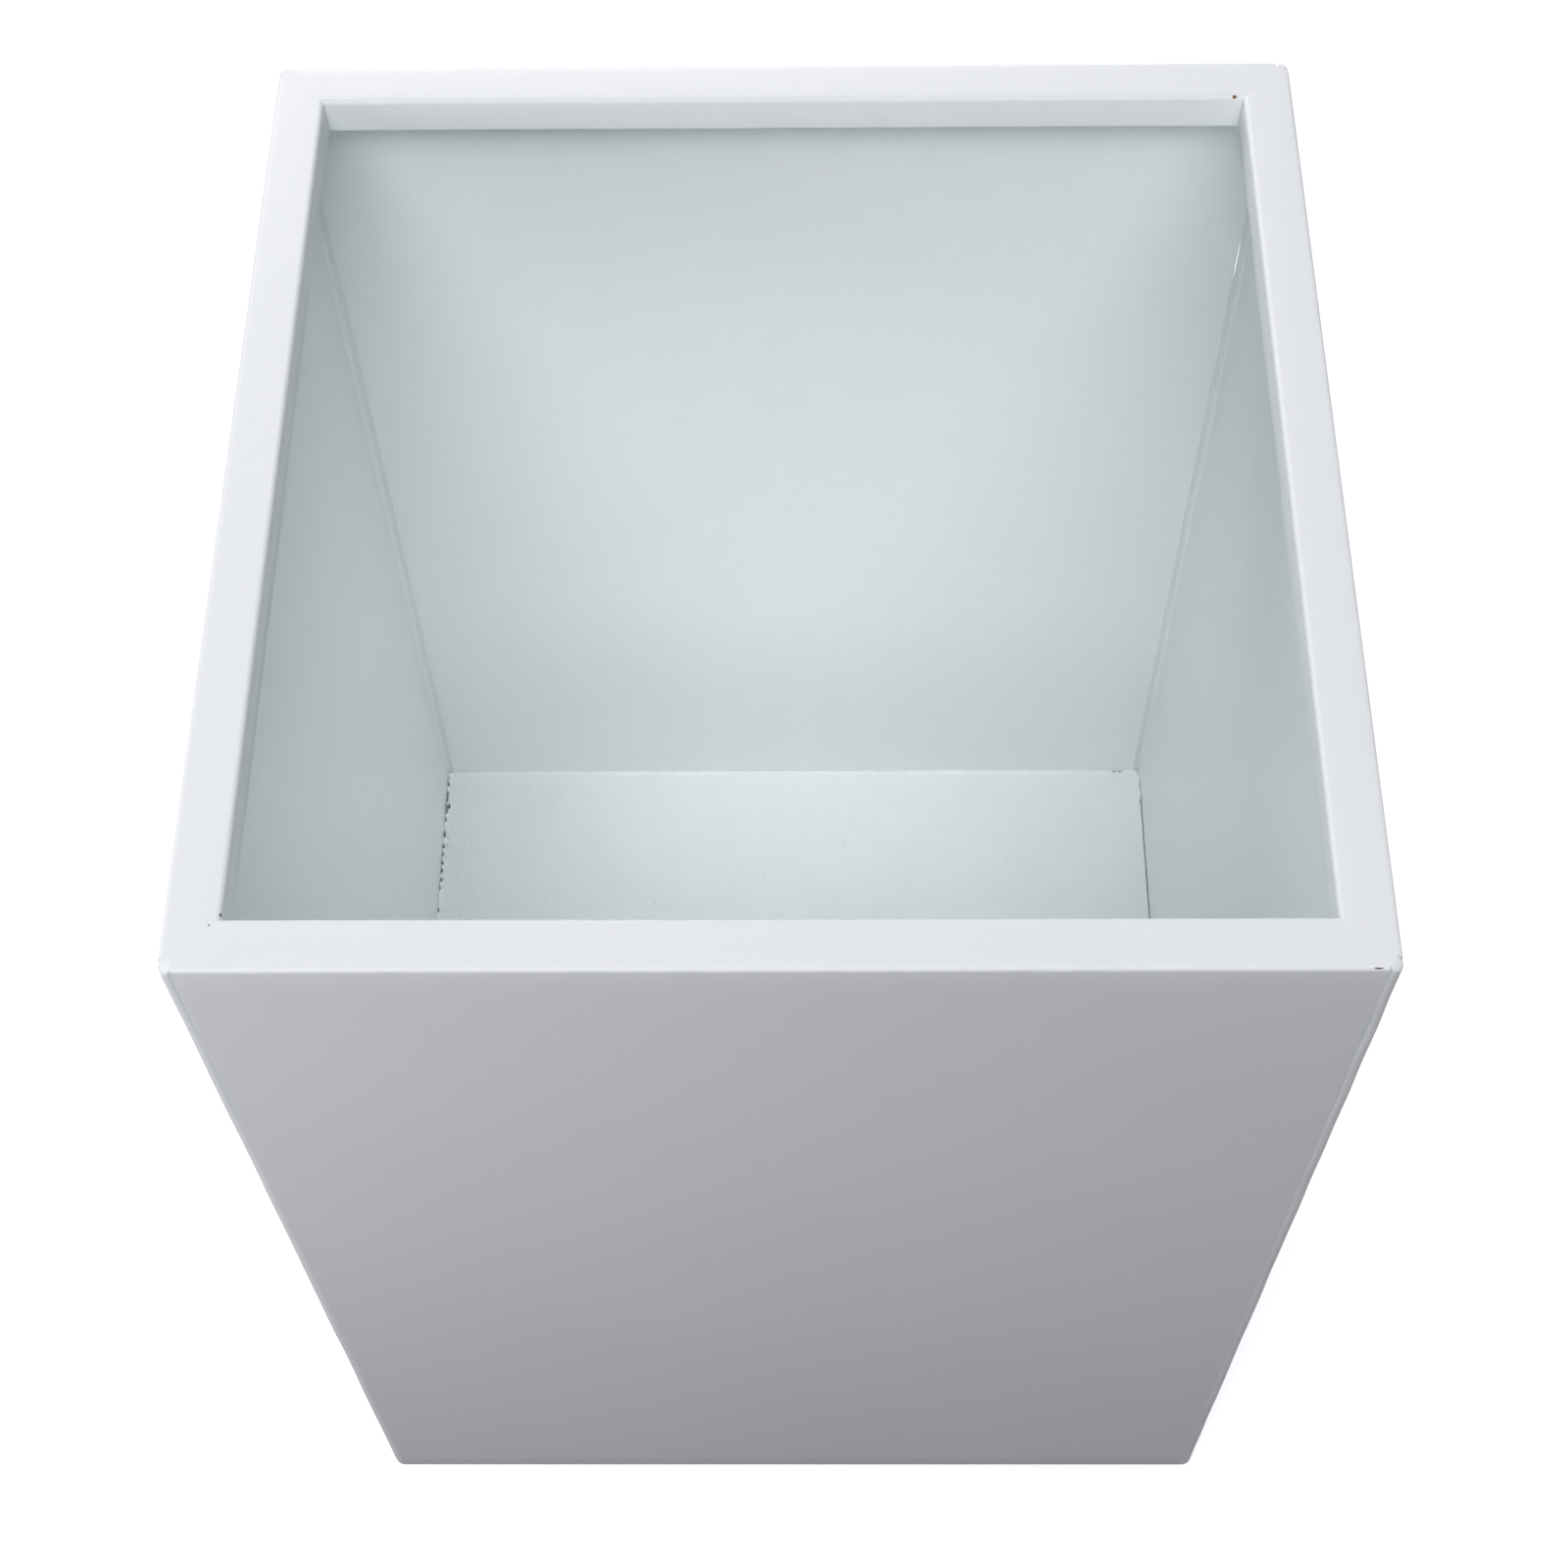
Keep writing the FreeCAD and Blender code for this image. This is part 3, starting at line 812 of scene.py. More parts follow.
        shares = np.concatenate([[0.0, 0.004, 0.012, 0.03], np.linspace(0.07, 0.96, 15), [1.0]])
        sink = np.array([0.45, 0.12] + [0.0] * (len(shares) - 2)) * MM
        rings += [flat(w, s.floor_top - d, 3.0 * MM) for w, d in zip(shares, sink)]
        bow = np.radians([0, 15, 30, 45, 60, 75, 90])
        bead_in = np.array([2.3, 1.7, 1.1, 0.4, -0.3, -0.9, -1.0]) * MM
        bead_up = np.array([0.02, 0.22, 0.55, 0.95, 1.20, 1.30, -0.8]) * MM
        for angle, inset, up in zip(bow, bead_in, bead_up):
            open_in = self.bend * (1 - math.sin(angle))
            open_down = self.bend * (1 - math.cos(angle))
            shut_in = max(inset, -gap)
            rings.append(hem(open_in * (1 - closed) + shut_in * closed,
                             s.floor_top - open_down * (1 - closed)
                             + up * closed * (lump if up > 0 else 1)))
        low, skirt = s.tray_foot, s.floor_top - self.bend
        for inset, height in ((0.0, skirt - 0.9 * MM), (0.0, (skirt + low) / 2),
                              (0.0, low + 0.5 * MM), (0.2 * MM, low + 0.12 * MM),
                              (0.5 * MM, low), (1.0 * MM, low), (1.3 * MM, low + 0.12 * MM),
                              (s.gauge, low + 0.5 * MM), (s.gauge, (skirt + low) / 2),
                              (s.gauge, skirt), (s.gauge + 0.15 * MM, skirt + 0.36 * MM),
                              (s.gauge + 0.5 * MM, skirt + 0.5 * MM)):
            rings.append(hem(inset, height + 0 * closed))
        under = s.floor_top - s.gauge
        rings += [flat(w, under, 3.0 * MM) for w in (1.0, 0.9, 0.7, 0.5, 0.3, 0.15, 0.05, 0.0)]
        grid = np.stack(rings)
        count, around = grid.shape[:2]
        i, j = np.meshgrid(np.arange(count), np.arange(around), indexing="ij")
        n, m = (i + 1) % count, (j + 1) % around
        quads = np.stack([i * around + j, i * around + m, n * around + m, n * around + j],
                         -1).reshape(-1, 4)
        rough = 1 - ease(grid[..., 0], -s.tray_half + 12 * MM, -s.tray_half + 150 * MM)
        rough = rough * (0.75 + 0.25 * waves(grid[..., 0], grid[..., 1], 41, 0.05))
        worn = np.clip(0.22 + 0.78 * rough, 0, 1)
        worn[len(shares) - 1:len(shares) + 7] *= 0.5
        return Surface(grid.reshape(-1, 3), quads, worn.reshape(-1)).outward()

    def build(self, materials: Sequence[bpy.types.Material]) -> bpy.types.Object:
        """Make the tray with its flecks and dress it.

        Args:
            materials: Coat, the near-black painted shade of pits, and rust, in that order.

        Returns:
            The tray's object.
        """
        shells = [self.surface()] + [fleck.surface() for fleck in self.flecks]
        return make_object("floor_tray_sheet", shells, materials, "floor_tray")


@dataclass
class Stiffener:
    """One top-hat channel under the floor."""

    node: str
    sizes: BoxSizes
    crown: float = 30 * MM
    foot: float = 15 * MM

    def surface(self) -> Surface:
        """Carry the hat section along X, with a slight sag and twist.

        Height falls by 0.15 mm times a squared cosine along the channel, for points away from
        the feet, so the feet stay on the floor.

        Returns:
            The channel's shell.
        """
        low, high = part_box(self.node)
        s = self.sizes
        mid = s.gauge / 2
        centre = (low.y + high.y) / 2
        web = self.crown / 2 - mid
        end = self.crown / 2 + self.foot
        radius = s.bend - mid
        line, normals, run = folded_line(
            ((-end, high.z - mid), (-web, high.z - mid), (-web, low.z + mid),
             (web, low.z + mid), (web, high.z - mid), (end, high.z - mid)),
            (radius,) * 4, 4 * MM, 6)
        line, normals, run = edge_fine(line, normals, run, s.gauge)
        outline = sheet_loop(line, normals, run, s.gauge)
        across, height = outline[:, :1], outline[:, 1:]
        along = np.linspace(low.x, high.x, 48)[None] + 0 * across
        depth = ease(-height, -(high.z - 2 * MM), -(low.z + 3 * MM))
        height = height + 0.15 * MM * depth * np.cos(math.pi * along / (high.x - low.x)) ** 2
        across = across + 0.2 * MM * depth * waves(along, 0 * along, 7, 0.2)
        points = np.stack([along, centre + across, height], -1).reshape(-1, 3)
        return Surface(points, loop_quads(*along.shape), np.zeros(along.size)).outward()

    def build(self, materials: Sequence[bpy.types.Material]) -> bpy.types.Object:
        """Make the channel and dress it.

        Args:
            materials: The coat of the underside.

        Returns:
            The channel's object.
        """
        return make_object(f"{self.node}_channel", [self.surface()], materials, self.node)


@dataclass
class StitchWelds:
    """A set of short weld beads that belong to one CAD node."""

    node: str
    leg: float = 3 * MM
    run: float = 25 * MM
    pitch: float = 150 * MM
    ripple: float = 1.7 * MM

    def bead(self, seed: int) -> tuple[Array, NDArray[np.int64]]:
        """Build one bead along X with its corner on the X axis, filling +Y and +Z.

        Across, the bead is a quarter circle about the corner.  Its radius is the leg times
        0.9 plus a tenth of a rounded ripple that lags towards the edges, and it tapers along a
        quarter circle over the first and last 2.5 mm.

        Args:
            seed: Number that fixes the bead's wobble.

        Returns:
            Points and faces.
        """
        along = np.linspace(-self.run / 2, self.run / 2, 61)[None]
        angle = np.linspace(0, math.pi / 2, 9)[:, None]
        lag = 0.55 * MM * np.cos(2 * angle)
        ripple = np.abs(np.cos(math.pi * (along + lag) / self.ripple)) ** 0.7
        near = np.clip((self.run / 2 - np.abs(along)) / (2.5 * MM), 0, 1)
        taper = 0.15 + 0.85 * np.sqrt(1 - (1 - near) ** 2)
        wobble = 0.03 * waves(along, 0 * along, seed, 9 * MM)
        radius = self.leg * (0.87 + 0.1 * ripple + wobble) * taper
        arc = np.stack([along + 0 * angle, radius * np.cos(angle), radius * np.sin(angle)], -1)
        root = np.stack([along + 0 * angle[:1], 0 * along, 0 * along], -1)
        loop = np.concatenate([arc, np.repeat(root, 9, axis=0)])
        return loop.reshape(-1, 3), loop_quads(18, 61)

    def places(self, sizes: BoxSizes) -> list[tuple[Point, float, bool]]:
        """Place the beads: along the tray's skirt, or along the stiffeners' feet.

        Args:
            sizes: Shared sizes.

        Returns:
            Each bead's corner point, its turn about Z, and whether it fills downwards.
        """
        steps = (-self.pitch, 0.0, self.pitch)
        if self.node == "floor_stitches":
            skirt = sizes.tray_half - sizes.gauge
            found = []
            for side in Side:
                ends = turned_about_z(np.array([[a, -skirt, sizes.tray_foot] for a in steps]),
                                      side.value)
                found += [(tuple(end), float(side.value), False) for end in ends]
            return found
        found = []
        for hat in ("floor_stiffener_front", "floor_stiffener_back"):
            low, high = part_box(hat)
            found += [((a, high.y, high.z), 0.0, True) for a in steps]
            found += [((a, low.y, high.z), 180.0, True) for a in steps]
        return found

    def build(self, sizes: BoxSizes,
              materials: Sequence[bpy.types.Material]) -> bpy.types.Object:
        """Make all the beads of the node and dress them.

        Args:
            sizes: Shared sizes.
            materials: The coat of the underside.

        Returns:
            The beads as one object.
        """
        shells = []
        for number, (corner, turn, downwards) in enumerate(self.places(sizes)):
            points, quads = self.bead(200 + number)
            if downwards:
                points = points * np.array([1, 1, -1.0])
            points = turned_about_z(points, turn) + np.array(corner)
            shells.append(Surface(points, quads, np.full(len(points), 0.4)).outward())
        return make_object(f"{self.node}_beads", shells, materials, self.node, 60.0)


# ---------------------------------------------------------------- rubber pieces


@dataclass
class DrainPlug:
    """Press-in rubber plug: a dished head on the floor and a barbed stem in the hole."""

    sizes: BoxSizes
    stem: float = 12.5 * MM
    barb: float = 1.5 * MM
    dish: float = 1.2 * MM
    ribs: int = 36
    segments: int = 216

    def build(self, materials: Sequence[bpy.types.Material]) -> bpy.types.Object:
        """Spin the plug's outline and dress it.

        The head's side carries cosine ribs, up to 1.2 per cent of its radius, which fade to
        nothing at the middle and under the head.

        Args:
            materials: The plug's rubber.

        Returns:
            The plug's object.
        """
        low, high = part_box("drain_plug")
        head = high.x
        floor = self.sizes.floor_top
        under = floor - self.sizes.gauge
        line, _, _ = folded_line(
            ((0.0, low.z), (self.stem - 2 * self.barb, low.z),
             (self.stem + self.barb, under - self.barb), (self.stem + self.barb, under),
             (self.stem, under), (self.stem, floor), (head, floor), (head, high.z),
             (head - 3.4 * MM, high.z), (head - 5.0 * MM, high.z - self.dish),
             (4.2 * MM, high.z - self.dish), (3.4 * MM, high.z - 0.4 * MM),
             (0.0, high.z - 0.4 * MM)),
            (1.0 * MM, 0.6 * MM, 0.35 * MM, 0.3 * MM, 0.3 * MM, 0.35 * MM, 0.9 * MM,
             0.5 * MM, 0.5 * MM, 0.5 * MM, 0.35 * MM), 1.1 * MM, 6)
        angle = np.linspace(0, 2 * math.pi, self.segments, endpoint=False)[None]
        outer = ease(line[:, :1], head - 1.2 * MM, head - 0.3 * MM) * ease(
            line[:, 1:], floor + 0.4 * MM, floor + 0.9 * MM)
        swell = -0.006 * outer * (1 + np.cos(self.ribs * angle))
        points, quads = lathe(line, self.segments, swell)
        shell = Surface(points, quads, np.zeros(len(points))).outward()
        return make_object("drain_plug_rubber", [shell], materials, "drain_plug",
                           55.0)


@dataclass
class FootPad:
    """Round rubber pad under one corner, with three ring grooves in its tread."""

    corner: Corner
    grooves: tuple[float, ...] = (2.2 * MM, 4.2 * MM, 6.2 * MM)
    depth: float = 0.45 * MM
    chamfer: float = 1.0 * MM

    def build(self, materials: Sequence[bpy.types.Material]) -> bpy.types.Object:
        """Spin the pad's outline with its grooves and dress it.

        On the tread the height is the depth times a bell curve at each groove's radius.

        Args:
            materials: The pad's rubber.

        Returns:
            The pad's object.
        """
        node = f"foot_pad_{self.corner.name.lower()}"
        low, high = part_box(node)
        radius = (high.x - low.x) / 2
        tread = np.linspace(0, radius - self.chamfer - 0.3 * MM, 44)
        rise = sum(dent(tread, ring, 0.42 * MM) for ring in self.grooves) * self.depth
        side, _, _ = folded_line(
            ((radius - self.chamfer - 0.25 * MM, 0.0), (radius - self.chamfer, 0.0),
             (radius, self.chamfer), (radius, high.z), (0.0, high.z)),
            (0.2 * MM, 0.5 * MM, 0.25 * MM), 0.8 * MM, 5)
        profile = np.concatenate([np.stack([tread, rise], 1), side])
        points, quads = lathe(profile, 72)
        points = points + np.array([(low.x + high.x) / 2, (low.y + high.y) / 2, low.z])
        shell = Surface(points, quads, np.zeros(len(points))).outward()
        return make_object(f"{node}_rubber", [shell], materials, node, 50.0)


# ---------------------------------------------------------------- finishes


@dataclass(frozen=True)
class PowderCoat:
    """Settings of one powder coat; lengths in metres."""

    name: str
    colour: Colour
    thin_colour: Colour
    drift: float = 0.35
    roughness: float = 0.34
    roughness_spread: float = 0.07
    peel_size: float = 2.6 * MM
    peel_depth: float = 0.014 * MM
    grain_size: float = 0.45 * MM
    grain_depth: float = 0.003 * MM
    nib_share: float = 0.05
    nib_height: float = 0.05 * MM
    pinhole_spacing: float = 9 * MM
    pinhole_share: float = 0.04
    pinhole_radius: float = 0.05
    mottle_depth: float = 0.0
    mark_size: float = 6.2 * MM
    mark_depth: float = 0.10 * MM
    dressed_dulling: float = 0.9


@dataclass(frozen=True)
class Rubber:
    """Settings of one moulded rubber."""

    name: str
    colour: Colour
    bloom: Colour
    roughness: float
    grain_size: float = 0.7 * MM
    grain_depth: float = 0.012 * MM


@dataclass(frozen=True)
class BareOrShadedSpot:
    """Settings of a small spot: rust where the coat is missing, or the near-black painted shade
    of a pit.
    """

    name: str
    middle: Colour
    edge: Colour
    roughness: float


def make_powder_coat(finish: PowderCoat) -> bpy.types.Material:
    """Write out the powder-coat material.

    Args:
        finish: Colours, roughness and sizes of the coat.

    Returns:
        The material.
    """
    material = bpy.data.materials.new(finish.name)
    material.use_nodes = True
    nodes, links = material.node_tree.nodes, material.node_tree.links
    nodes.clear()

    shade_frame = nodes.new("NodeFrame")
    shade_frame.label = "Shade of the coat"
    peel_frame = nodes.new("NodeFrame")
    peel_frame.label = "Orange peel and grain"
    nib_frame = nodes.new("NodeFrame")
    nib_frame.label = "Nibs of baked-in dust"
    pinhole_frame = nodes.new("NodeFrame")
    pinhole_frame.label = "Pinholes"
    dressing_frame = nodes.new("NodeFrame")
    dressing_frame.label = "Hand-dressed welds and edges"
    output_frame = nodes.new("NodeFrame")
    output_frame.label = "Coat surface"

    coords = nodes.new("ShaderNodeTexCoord")
    coords.label = "Place on the box"
    place = nodes.new("ShaderNodeMapping")
    place.label = "Shift of the pattern"

    drift_noise = nodes.new("ShaderNodeTexNoise")
    drift_noise.label = "Slow drift of shade"
    drift_range = nodes.new("ShaderNodeMapRange")
    drift_range.label = "Drift amount"
    cloud_noise = nodes.new("ShaderNodeTexNoise")
    cloud_noise.label = "Powder cloud"
    cloud_range = nodes.new("ShaderNodeMapRange")
    cloud_range.label = "Cloud amount"
    shade_sum = nodes.new("ShaderNodeMath")
    shade_sum.label = "Thinness of the coat"
    shade_mix = nodes.new("ShaderNodeMix")
    shade_mix.label = "Full coat to thin coat"

    peel_noise = nodes.new("ShaderNodeTexNoise")
    peel_noise.label = "Orange peel"
    peel_height = nodes.new("ShaderNodeMath")
    peel_height.label = "Peel depth"
    grain_noise = nodes.new("ShaderNodeTexNoise")
    grain_noise.label = "Fine grain"
    grain_height = nodes.new("ShaderNodeMath")
    grain_height.label = "Grain depth"
    mottle_noise = nodes.new("ShaderNodeTexNoise")
    mottle_noise.label = "Coarse mottle"
    mottle_height = nodes.new("ShaderNodeMath")
    mottle_height.label = "Mottle depth"
    fine_sum = nodes.new("ShaderNodeMath")
    fine_sum.label = "Peel and grain"
    texture_sum = nodes.new("ShaderNodeMath")
    texture_sum.label = "Peel, grain and mottle"

    nib_cells = nodes.new("ShaderNodeTexVoronoi")
    nib_cells.label = "Scattered nibs"
    nib_dome = nodes.new("ShaderNodeMapRange")
    nib_dome.label = "Dome of a nib"
    nib_pick = nodes.new("ShaderNodeSeparateColor")
    nib_pick.label = "Random number of a cell"
    nib_few = nodes.new("ShaderNodeMath")
    nib_few.label = "Keep a few"
    nib_mask = nodes.new("ShaderNodeMath")
    nib_mask.label = "Nibs"
    nib_height = nodes.new("ShaderNodeMath")
    nib_height.label = "Nib height"

    pinhole_cells = nodes.new("ShaderNodeTexVoronoi")
    pinhole_cells.label = "Scattered pinholes"
    pinhole_cup = nodes.new("ShaderNodeMapRange")
    pinhole_cup.label = "Cup of a pinhole"
    pinhole_pick = nodes.new("ShaderNodeSeparateColor")
    pinhole_pick.label = "Random number of a cell"
    pinhole_few = nodes.new("ShaderNodeMath")
    pinhole_few.label = "Keep a few"
    pinhole_mask = nodes.new("ShaderNodeMath")
    pinhole_mask.label = "Pinholes"
    pinhole_height = nodes.new("ShaderNodeMath")
    pinhole_height.label = "Pinhole depth"
    # Pinholes are coloured dark grey here: painted shade in the hollow of each pinhole, beside
    # their real dip in the bump.
    pinhole_painted_shade = nodes.new("ShaderNodeMix")
    pinhole_painted_shade.label = "Dark in the pinholes"

    dressing_read = nodes.new("ShaderNodeAttribute")
    dressing_read.label = "Dressed share"
    file_noise = nodes.new("ShaderNodeTexNoise")
    file_noise.label = "File and disc marks"
    file_share = nodes.new("ShaderNodeMath")
    file_share.label = "Marks where dressed"
    file_height = nodes.new("ShaderNodeMath")
    file_height.label = "Mark depth"
    file_tint = nodes.new("ShaderNodeMix")
    file_tint.label = "Thinner coat where dressed"

    height_a = nodes.new("ShaderNodeMath")
    height_a.label = "Texture and nibs"
    height_b = nodes.new("ShaderNodeMath")
    height_b.label = "Less pinholes"
    height_c = nodes.new("ShaderNodeMath")
    height_c.label = "And file marks"
    bump = nodes.new("ShaderNodeBump")
    bump.label = "Relief of the coat"
    gloss_range = nodes.new("ShaderNodeMapRange")
    gloss_range.label = "Gloss follows the cloud"
    gloss_dressed = nodes.new("ShaderNodeMath")
    gloss_dressed.label = "Duller where dressed"
    shader = nodes.new("ShaderNodeBsdfPrincipled")
    shader.label = "Baked powder"
    output = nodes.new("ShaderNodeOutputMaterial")
    output.label = "Coat"

    for node, spot in (
            (coords, (-2200, 0)), (place, (-2000, 0))):
        node.location = spot
    for node, spot in (
            (drift_noise, (-1700, 900)), (drift_range, (-1500, 900)),
            (cloud_noise, (-1700, 640)), (cloud_range, (-1500, 640)),
            (shade_sum, (-1300, 760)), (shade_mix, (-1100, 800))):
        node.parent, node.location = shade_frame, spot
    for node, spot in (
            (peel_noise, (-1700, 300)), (peel_height, (-1500, 300)),
            (grain_noise, (-1700, 60)), (grain_height, (-1500, 60)),
            (mottle_noise, (-1700, -180)), (mottle_height, (-1500, -180)),
            (fine_sum, (-1300, 200)), (texture_sum, (-1100, 120))):
        node.parent, node.location = peel_frame, spot
    for node, spot in (
            (nib_cells, (-1700, -460)), (nib_dome, (-1500, -420)), (nib_pick, (-1500, -680)),
            (nib_few, (-1300, -640)), (nib_mask, (-1100, -500)), (nib_height, (-900, -500))):
        node.parent, node.location = nib_frame, spot
    for node, spot in (
            (pinhole_cells, (-1700, -960)), (pinhole_cup, (-1500, -920)),
            (pinhole_pick, (-1500, -1180)), (pinhole_few, (-1300, -1140)),
            (pinhole_mask, (-1100, -1000)), (pinhole_height, (-900, -1000)),
            (pinhole_painted_shade, (-500, 700))):
        node.parent, node.location = pinhole_frame, spot
    for node, spot in (
            (dressing_read, (-1700, -1460)), (file_noise, (-1700, -1660)),
            (file_share, (-1300, -1560)), (file_height, (-1100, -1560)),
            (file_tint, (-800, 760))):
        node.parent, node.location = dressing_frame, spot
    for node, spot in (
            (height_a, (-700, -200)), (height_b, (-500, -300)), (height_c, (-300, -400)),
            (bump, (-100, -400)), (gloss_range, (-700, 200)), (gloss_dressed, (-300, 200)),
            (shader, (150, 300)), (output, (480, 300))):
        node.parent, node.location = output_frame, spot

    place.inputs["Location"].default_value = (0.37, 0.11, 0.23)
    drift_noise.inputs["Scale"].default_value = 4.5
    drift_noise.inputs["Detail"].default_value = 2.0
    drift_range.inputs["From Min"].default_value = 0.32
    drift_range.inputs["From Max"].default_value = 0.72
    drift_range.inputs["To Max"].default_value = finish.drift
    cloud_noise.inputs["Scale"].default_value = 70.0
    cloud_noise.inputs["Detail"].default_value = 4.0
    cloud_range.inputs["From Min"].default_value = 0.35
    cloud_range.inputs["From Max"].default_value = 0.75
    cloud_range.inputs["To Max"].default_value = finish.drift * 0.5
    for total in (shade_sum, fine_sum, texture_sum, height_a, height_c):
        total.operation = "ADD"
    shade_sum.operation = "ADD"
    shade_sum.use_clamp = True
    for mix in (shade_mix, pinhole_painted_shade, file_tint):
        mix.data_type = "RGBA"
    shade_mix.data_type = "RGBA"
    shade_mix.inputs[6].default_value = (*finish.colour, 1)
    shade_mix.inputs[7].default_value = (*finish.thin_colour, 1)
    peel_noise.inputs["Scale"].default_value = 1 / finish.peel_size
    peel_noise.inputs["Detail"].default_value = 1.5
    for product in (peel_height, grain_height, mottle_height, nib_mask, nib_height,
                        pinhole_mask, pinhole_height, file_share, file_height):
        product.operation = "MULTIPLY"
    peel_height.operation = "MULTIPLY"
    peel_height.inputs[1].default_value = finish.peel_depth
    grain_noise.inputs["Scale"].default_value = 1 / finish.grain_size
    grain_noise.inputs["Detail"].default_value = 2.0
    grain_height.inputs[1].default_value = finish.grain_depth
    mottle_noise.inputs["Scale"].default_value = 210.0
    mottle_noise.inputs["Detail"].default_value = 3.0
    mottle_noise.inputs["Distortion"].default_value = 0.6
    mottle_height.inputs[1].default_value = finish.mottle_depth
    nib_cells.inputs["Scale"].default_value = 38.0
    nib_dome.inputs["From Min"].default_value = 0.035
    nib_dome.inputs["From Max"].default_value = 0.0
    nib_few.operation = "LESS_THAN"
    nib_few.inputs[1].default_value = finish.nib_share
    nib_height.inputs[1].default_value = finish.nib_height
    pinhole_cells.inputs["Scale"].default_value = 1 / finish.pinhole_spacing
    pinhole_cup.inputs["From Min"].default_value = finish.pinhole_radius
    pinhole_cup.inputs["From Max"].default_value = finish.pinhole_radius * 0.4
    pinhole_few.operation = "LESS_THAN"
    pinhole_few.inputs[1].default_value = finish.pinhole_share
    pinhole_height.inputs[1].default_value = 0.12 * MM
    # Dark grey painted shade for the inside of a pinhole.
    pinhole_painted_shade.inputs[7].default_value = (0.30, 0.32, 0.30, 1)
    dressing_read.attribute_name = DRESSING
    file_noise.inputs["Scale"].default_value = 1 / finish.mark_size
    file_noise.inputs["Detail"].default_value = 3.0
    file_height.inputs[1].default_value = finish.mark_depth
    file_tint.inputs[7].default_value = (*finish.thin_colour, 1)
    height_b.operation = "SUBTRACT"
    bump.inputs["Strength"].default_value = 1.0
    bump.inputs["Distance"].default_value = 1.0
    gloss_range.inputs["To Min"].default_value = finish.roughness - finish.roughness_spread
    gloss_range.inputs["To Max"].default_value = finish.roughness + finish.roughness_spread
    gloss_dressed.operation = "MULTIPLY_ADD"
    gloss_dressed.inputs[1].default_value = finish.dressed_dulling
    shader.inputs["IOR"].default_value = 1.5

    links.new(coords.outputs["Object"], place.inputs["Vector"])
    links.new(place.outputs["Vector"], drift_noise.inputs["Vector"])
    links.new(place.outputs["Vector"], cloud_noise.inputs["Vector"])
    links.new(place.outputs["Vector"], peel_noise.inputs["Vector"])
    links.new(place.outputs["Vector"], grain_noise.inputs["Vector"])
    links.new(place.outputs["Vector"], mottle_noise.inputs["Vector"])
    links.new(place.outputs["Vector"], nib_cells.inputs["Vector"])
    links.new(place.outputs["Vector"], pinhole_cells.inputs["Vector"])
    links.new(place.outputs["Vector"], file_noise.inputs["Vector"])
    links.new(drift_noise.outputs["Fac"], drift_range.inputs["Value"])
    links.new(cloud_noise.outputs["Fac"], cloud_range.inputs["Value"])
    links.new(drift_range.outputs["Result"], shade_sum.inputs[0])
    links.new(cloud_range.outputs["Result"], shade_sum.inputs[1])
    links.new(shade_sum.outputs["Value"], shade_mix.inputs["Factor"])
    links.new(peel_noise.outputs["Fac"], peel_height.inputs[0])
    links.new(grain_noise.outputs["Fac"], grain_height.inputs[0])
    links.new(mottle_noise.outputs["Fac"], mottle_height.inputs[0])
    links.new(peel_height.outputs["Value"], fine_sum.inputs[0])
    links.new(grain_height.outputs["Value"], fine_sum.inputs[1])
    links.new(fine_sum.outputs["Value"], texture_sum.inputs[0])
    links.new(mottle_height.outputs["Value"], texture_sum.inputs[1])
    links.new(nib_cells.outputs["Distance"], nib_dome.inputs["Value"])
    links.new(nib_cells.outputs["Color"], nib_pick.inputs["Color"])
    links.new(nib_pick.outputs["Red"], nib_few.inputs[0])
    links.new(nib_dome.outputs["Result"], nib_mask.inputs[0])
    links.new(nib_few.outputs["Value"], nib_mask.inputs[1])
    links.new(nib_mask.outputs["Value"], nib_height.inputs[0])
    links.new(pinhole_cells.outputs["Distance"], pinhole_cup.inputs["Value"])
    links.new(pinhole_cells.outputs["Color"], pinhole_pick.inputs["Color"])
    links.new(pinhole_pick.outputs["Red"], pinhole_few.inputs[0])
    links.new(pinhole_cup.outputs["Result"], pinhole_mask.inputs[0])
    links.new(pinhole_few.outputs["Value"], pinhole_mask.inputs[1])
    links.new(pinhole_mask.outputs["Value"], pinhole_height.inputs[0])
    links.new(dressing_read.outputs["Fac"], file_share.inputs[0])
    links.new(file_noise.outputs["Fac"], file_share.inputs[1])
    links.new(file_share.outputs["Value"], file_height.inputs[0])
    links.new(shade_mix.outputs[2], file_tint.inputs[6])
    links.new(file_share.outputs["Value"], file_tint.inputs["Factor"])
    links.new(file_tint.outputs[2], pinhole_painted_shade.inputs[6])
    links.new(pinhole_mask.outputs["Value"], pinhole_painted_shade.inputs["Factor"])
    links.new(pinhole_painted_shade.outputs[2], shader.inputs["Base Color"])
    links.new(texture_sum.outputs["Value"], height_a.inputs[0])
    links.new(nib_height.outputs["Value"], height_a.inputs[1])
    links.new(height_a.outputs["Value"], height_b.inputs[0])
    links.new(pinhole_height.outputs["Value"], height_b.inputs[1])
    links.new(height_b.outputs["Value"], height_c.inputs[0])
    links.new(file_height.outputs["Value"], height_c.inputs[1])
    links.new(height_c.outputs["Value"], bump.inputs["Height"])
    links.new(bump.outputs["Normal"], shader.inputs["Normal"])
    links.new(cloud_noise.outputs["Fac"], gloss_range.inputs["Value"])
    links.new(file_share.outputs["Value"], gloss_dressed.inputs[0])
    links.new(gloss_range.outputs["Result"], gloss_dressed.inputs[2])
    links.new(gloss_dressed.outputs["Value"], shader.inputs["Roughness"])
    links.new(shader.outputs["BSDF"], output.inputs["Surface"])
    return material


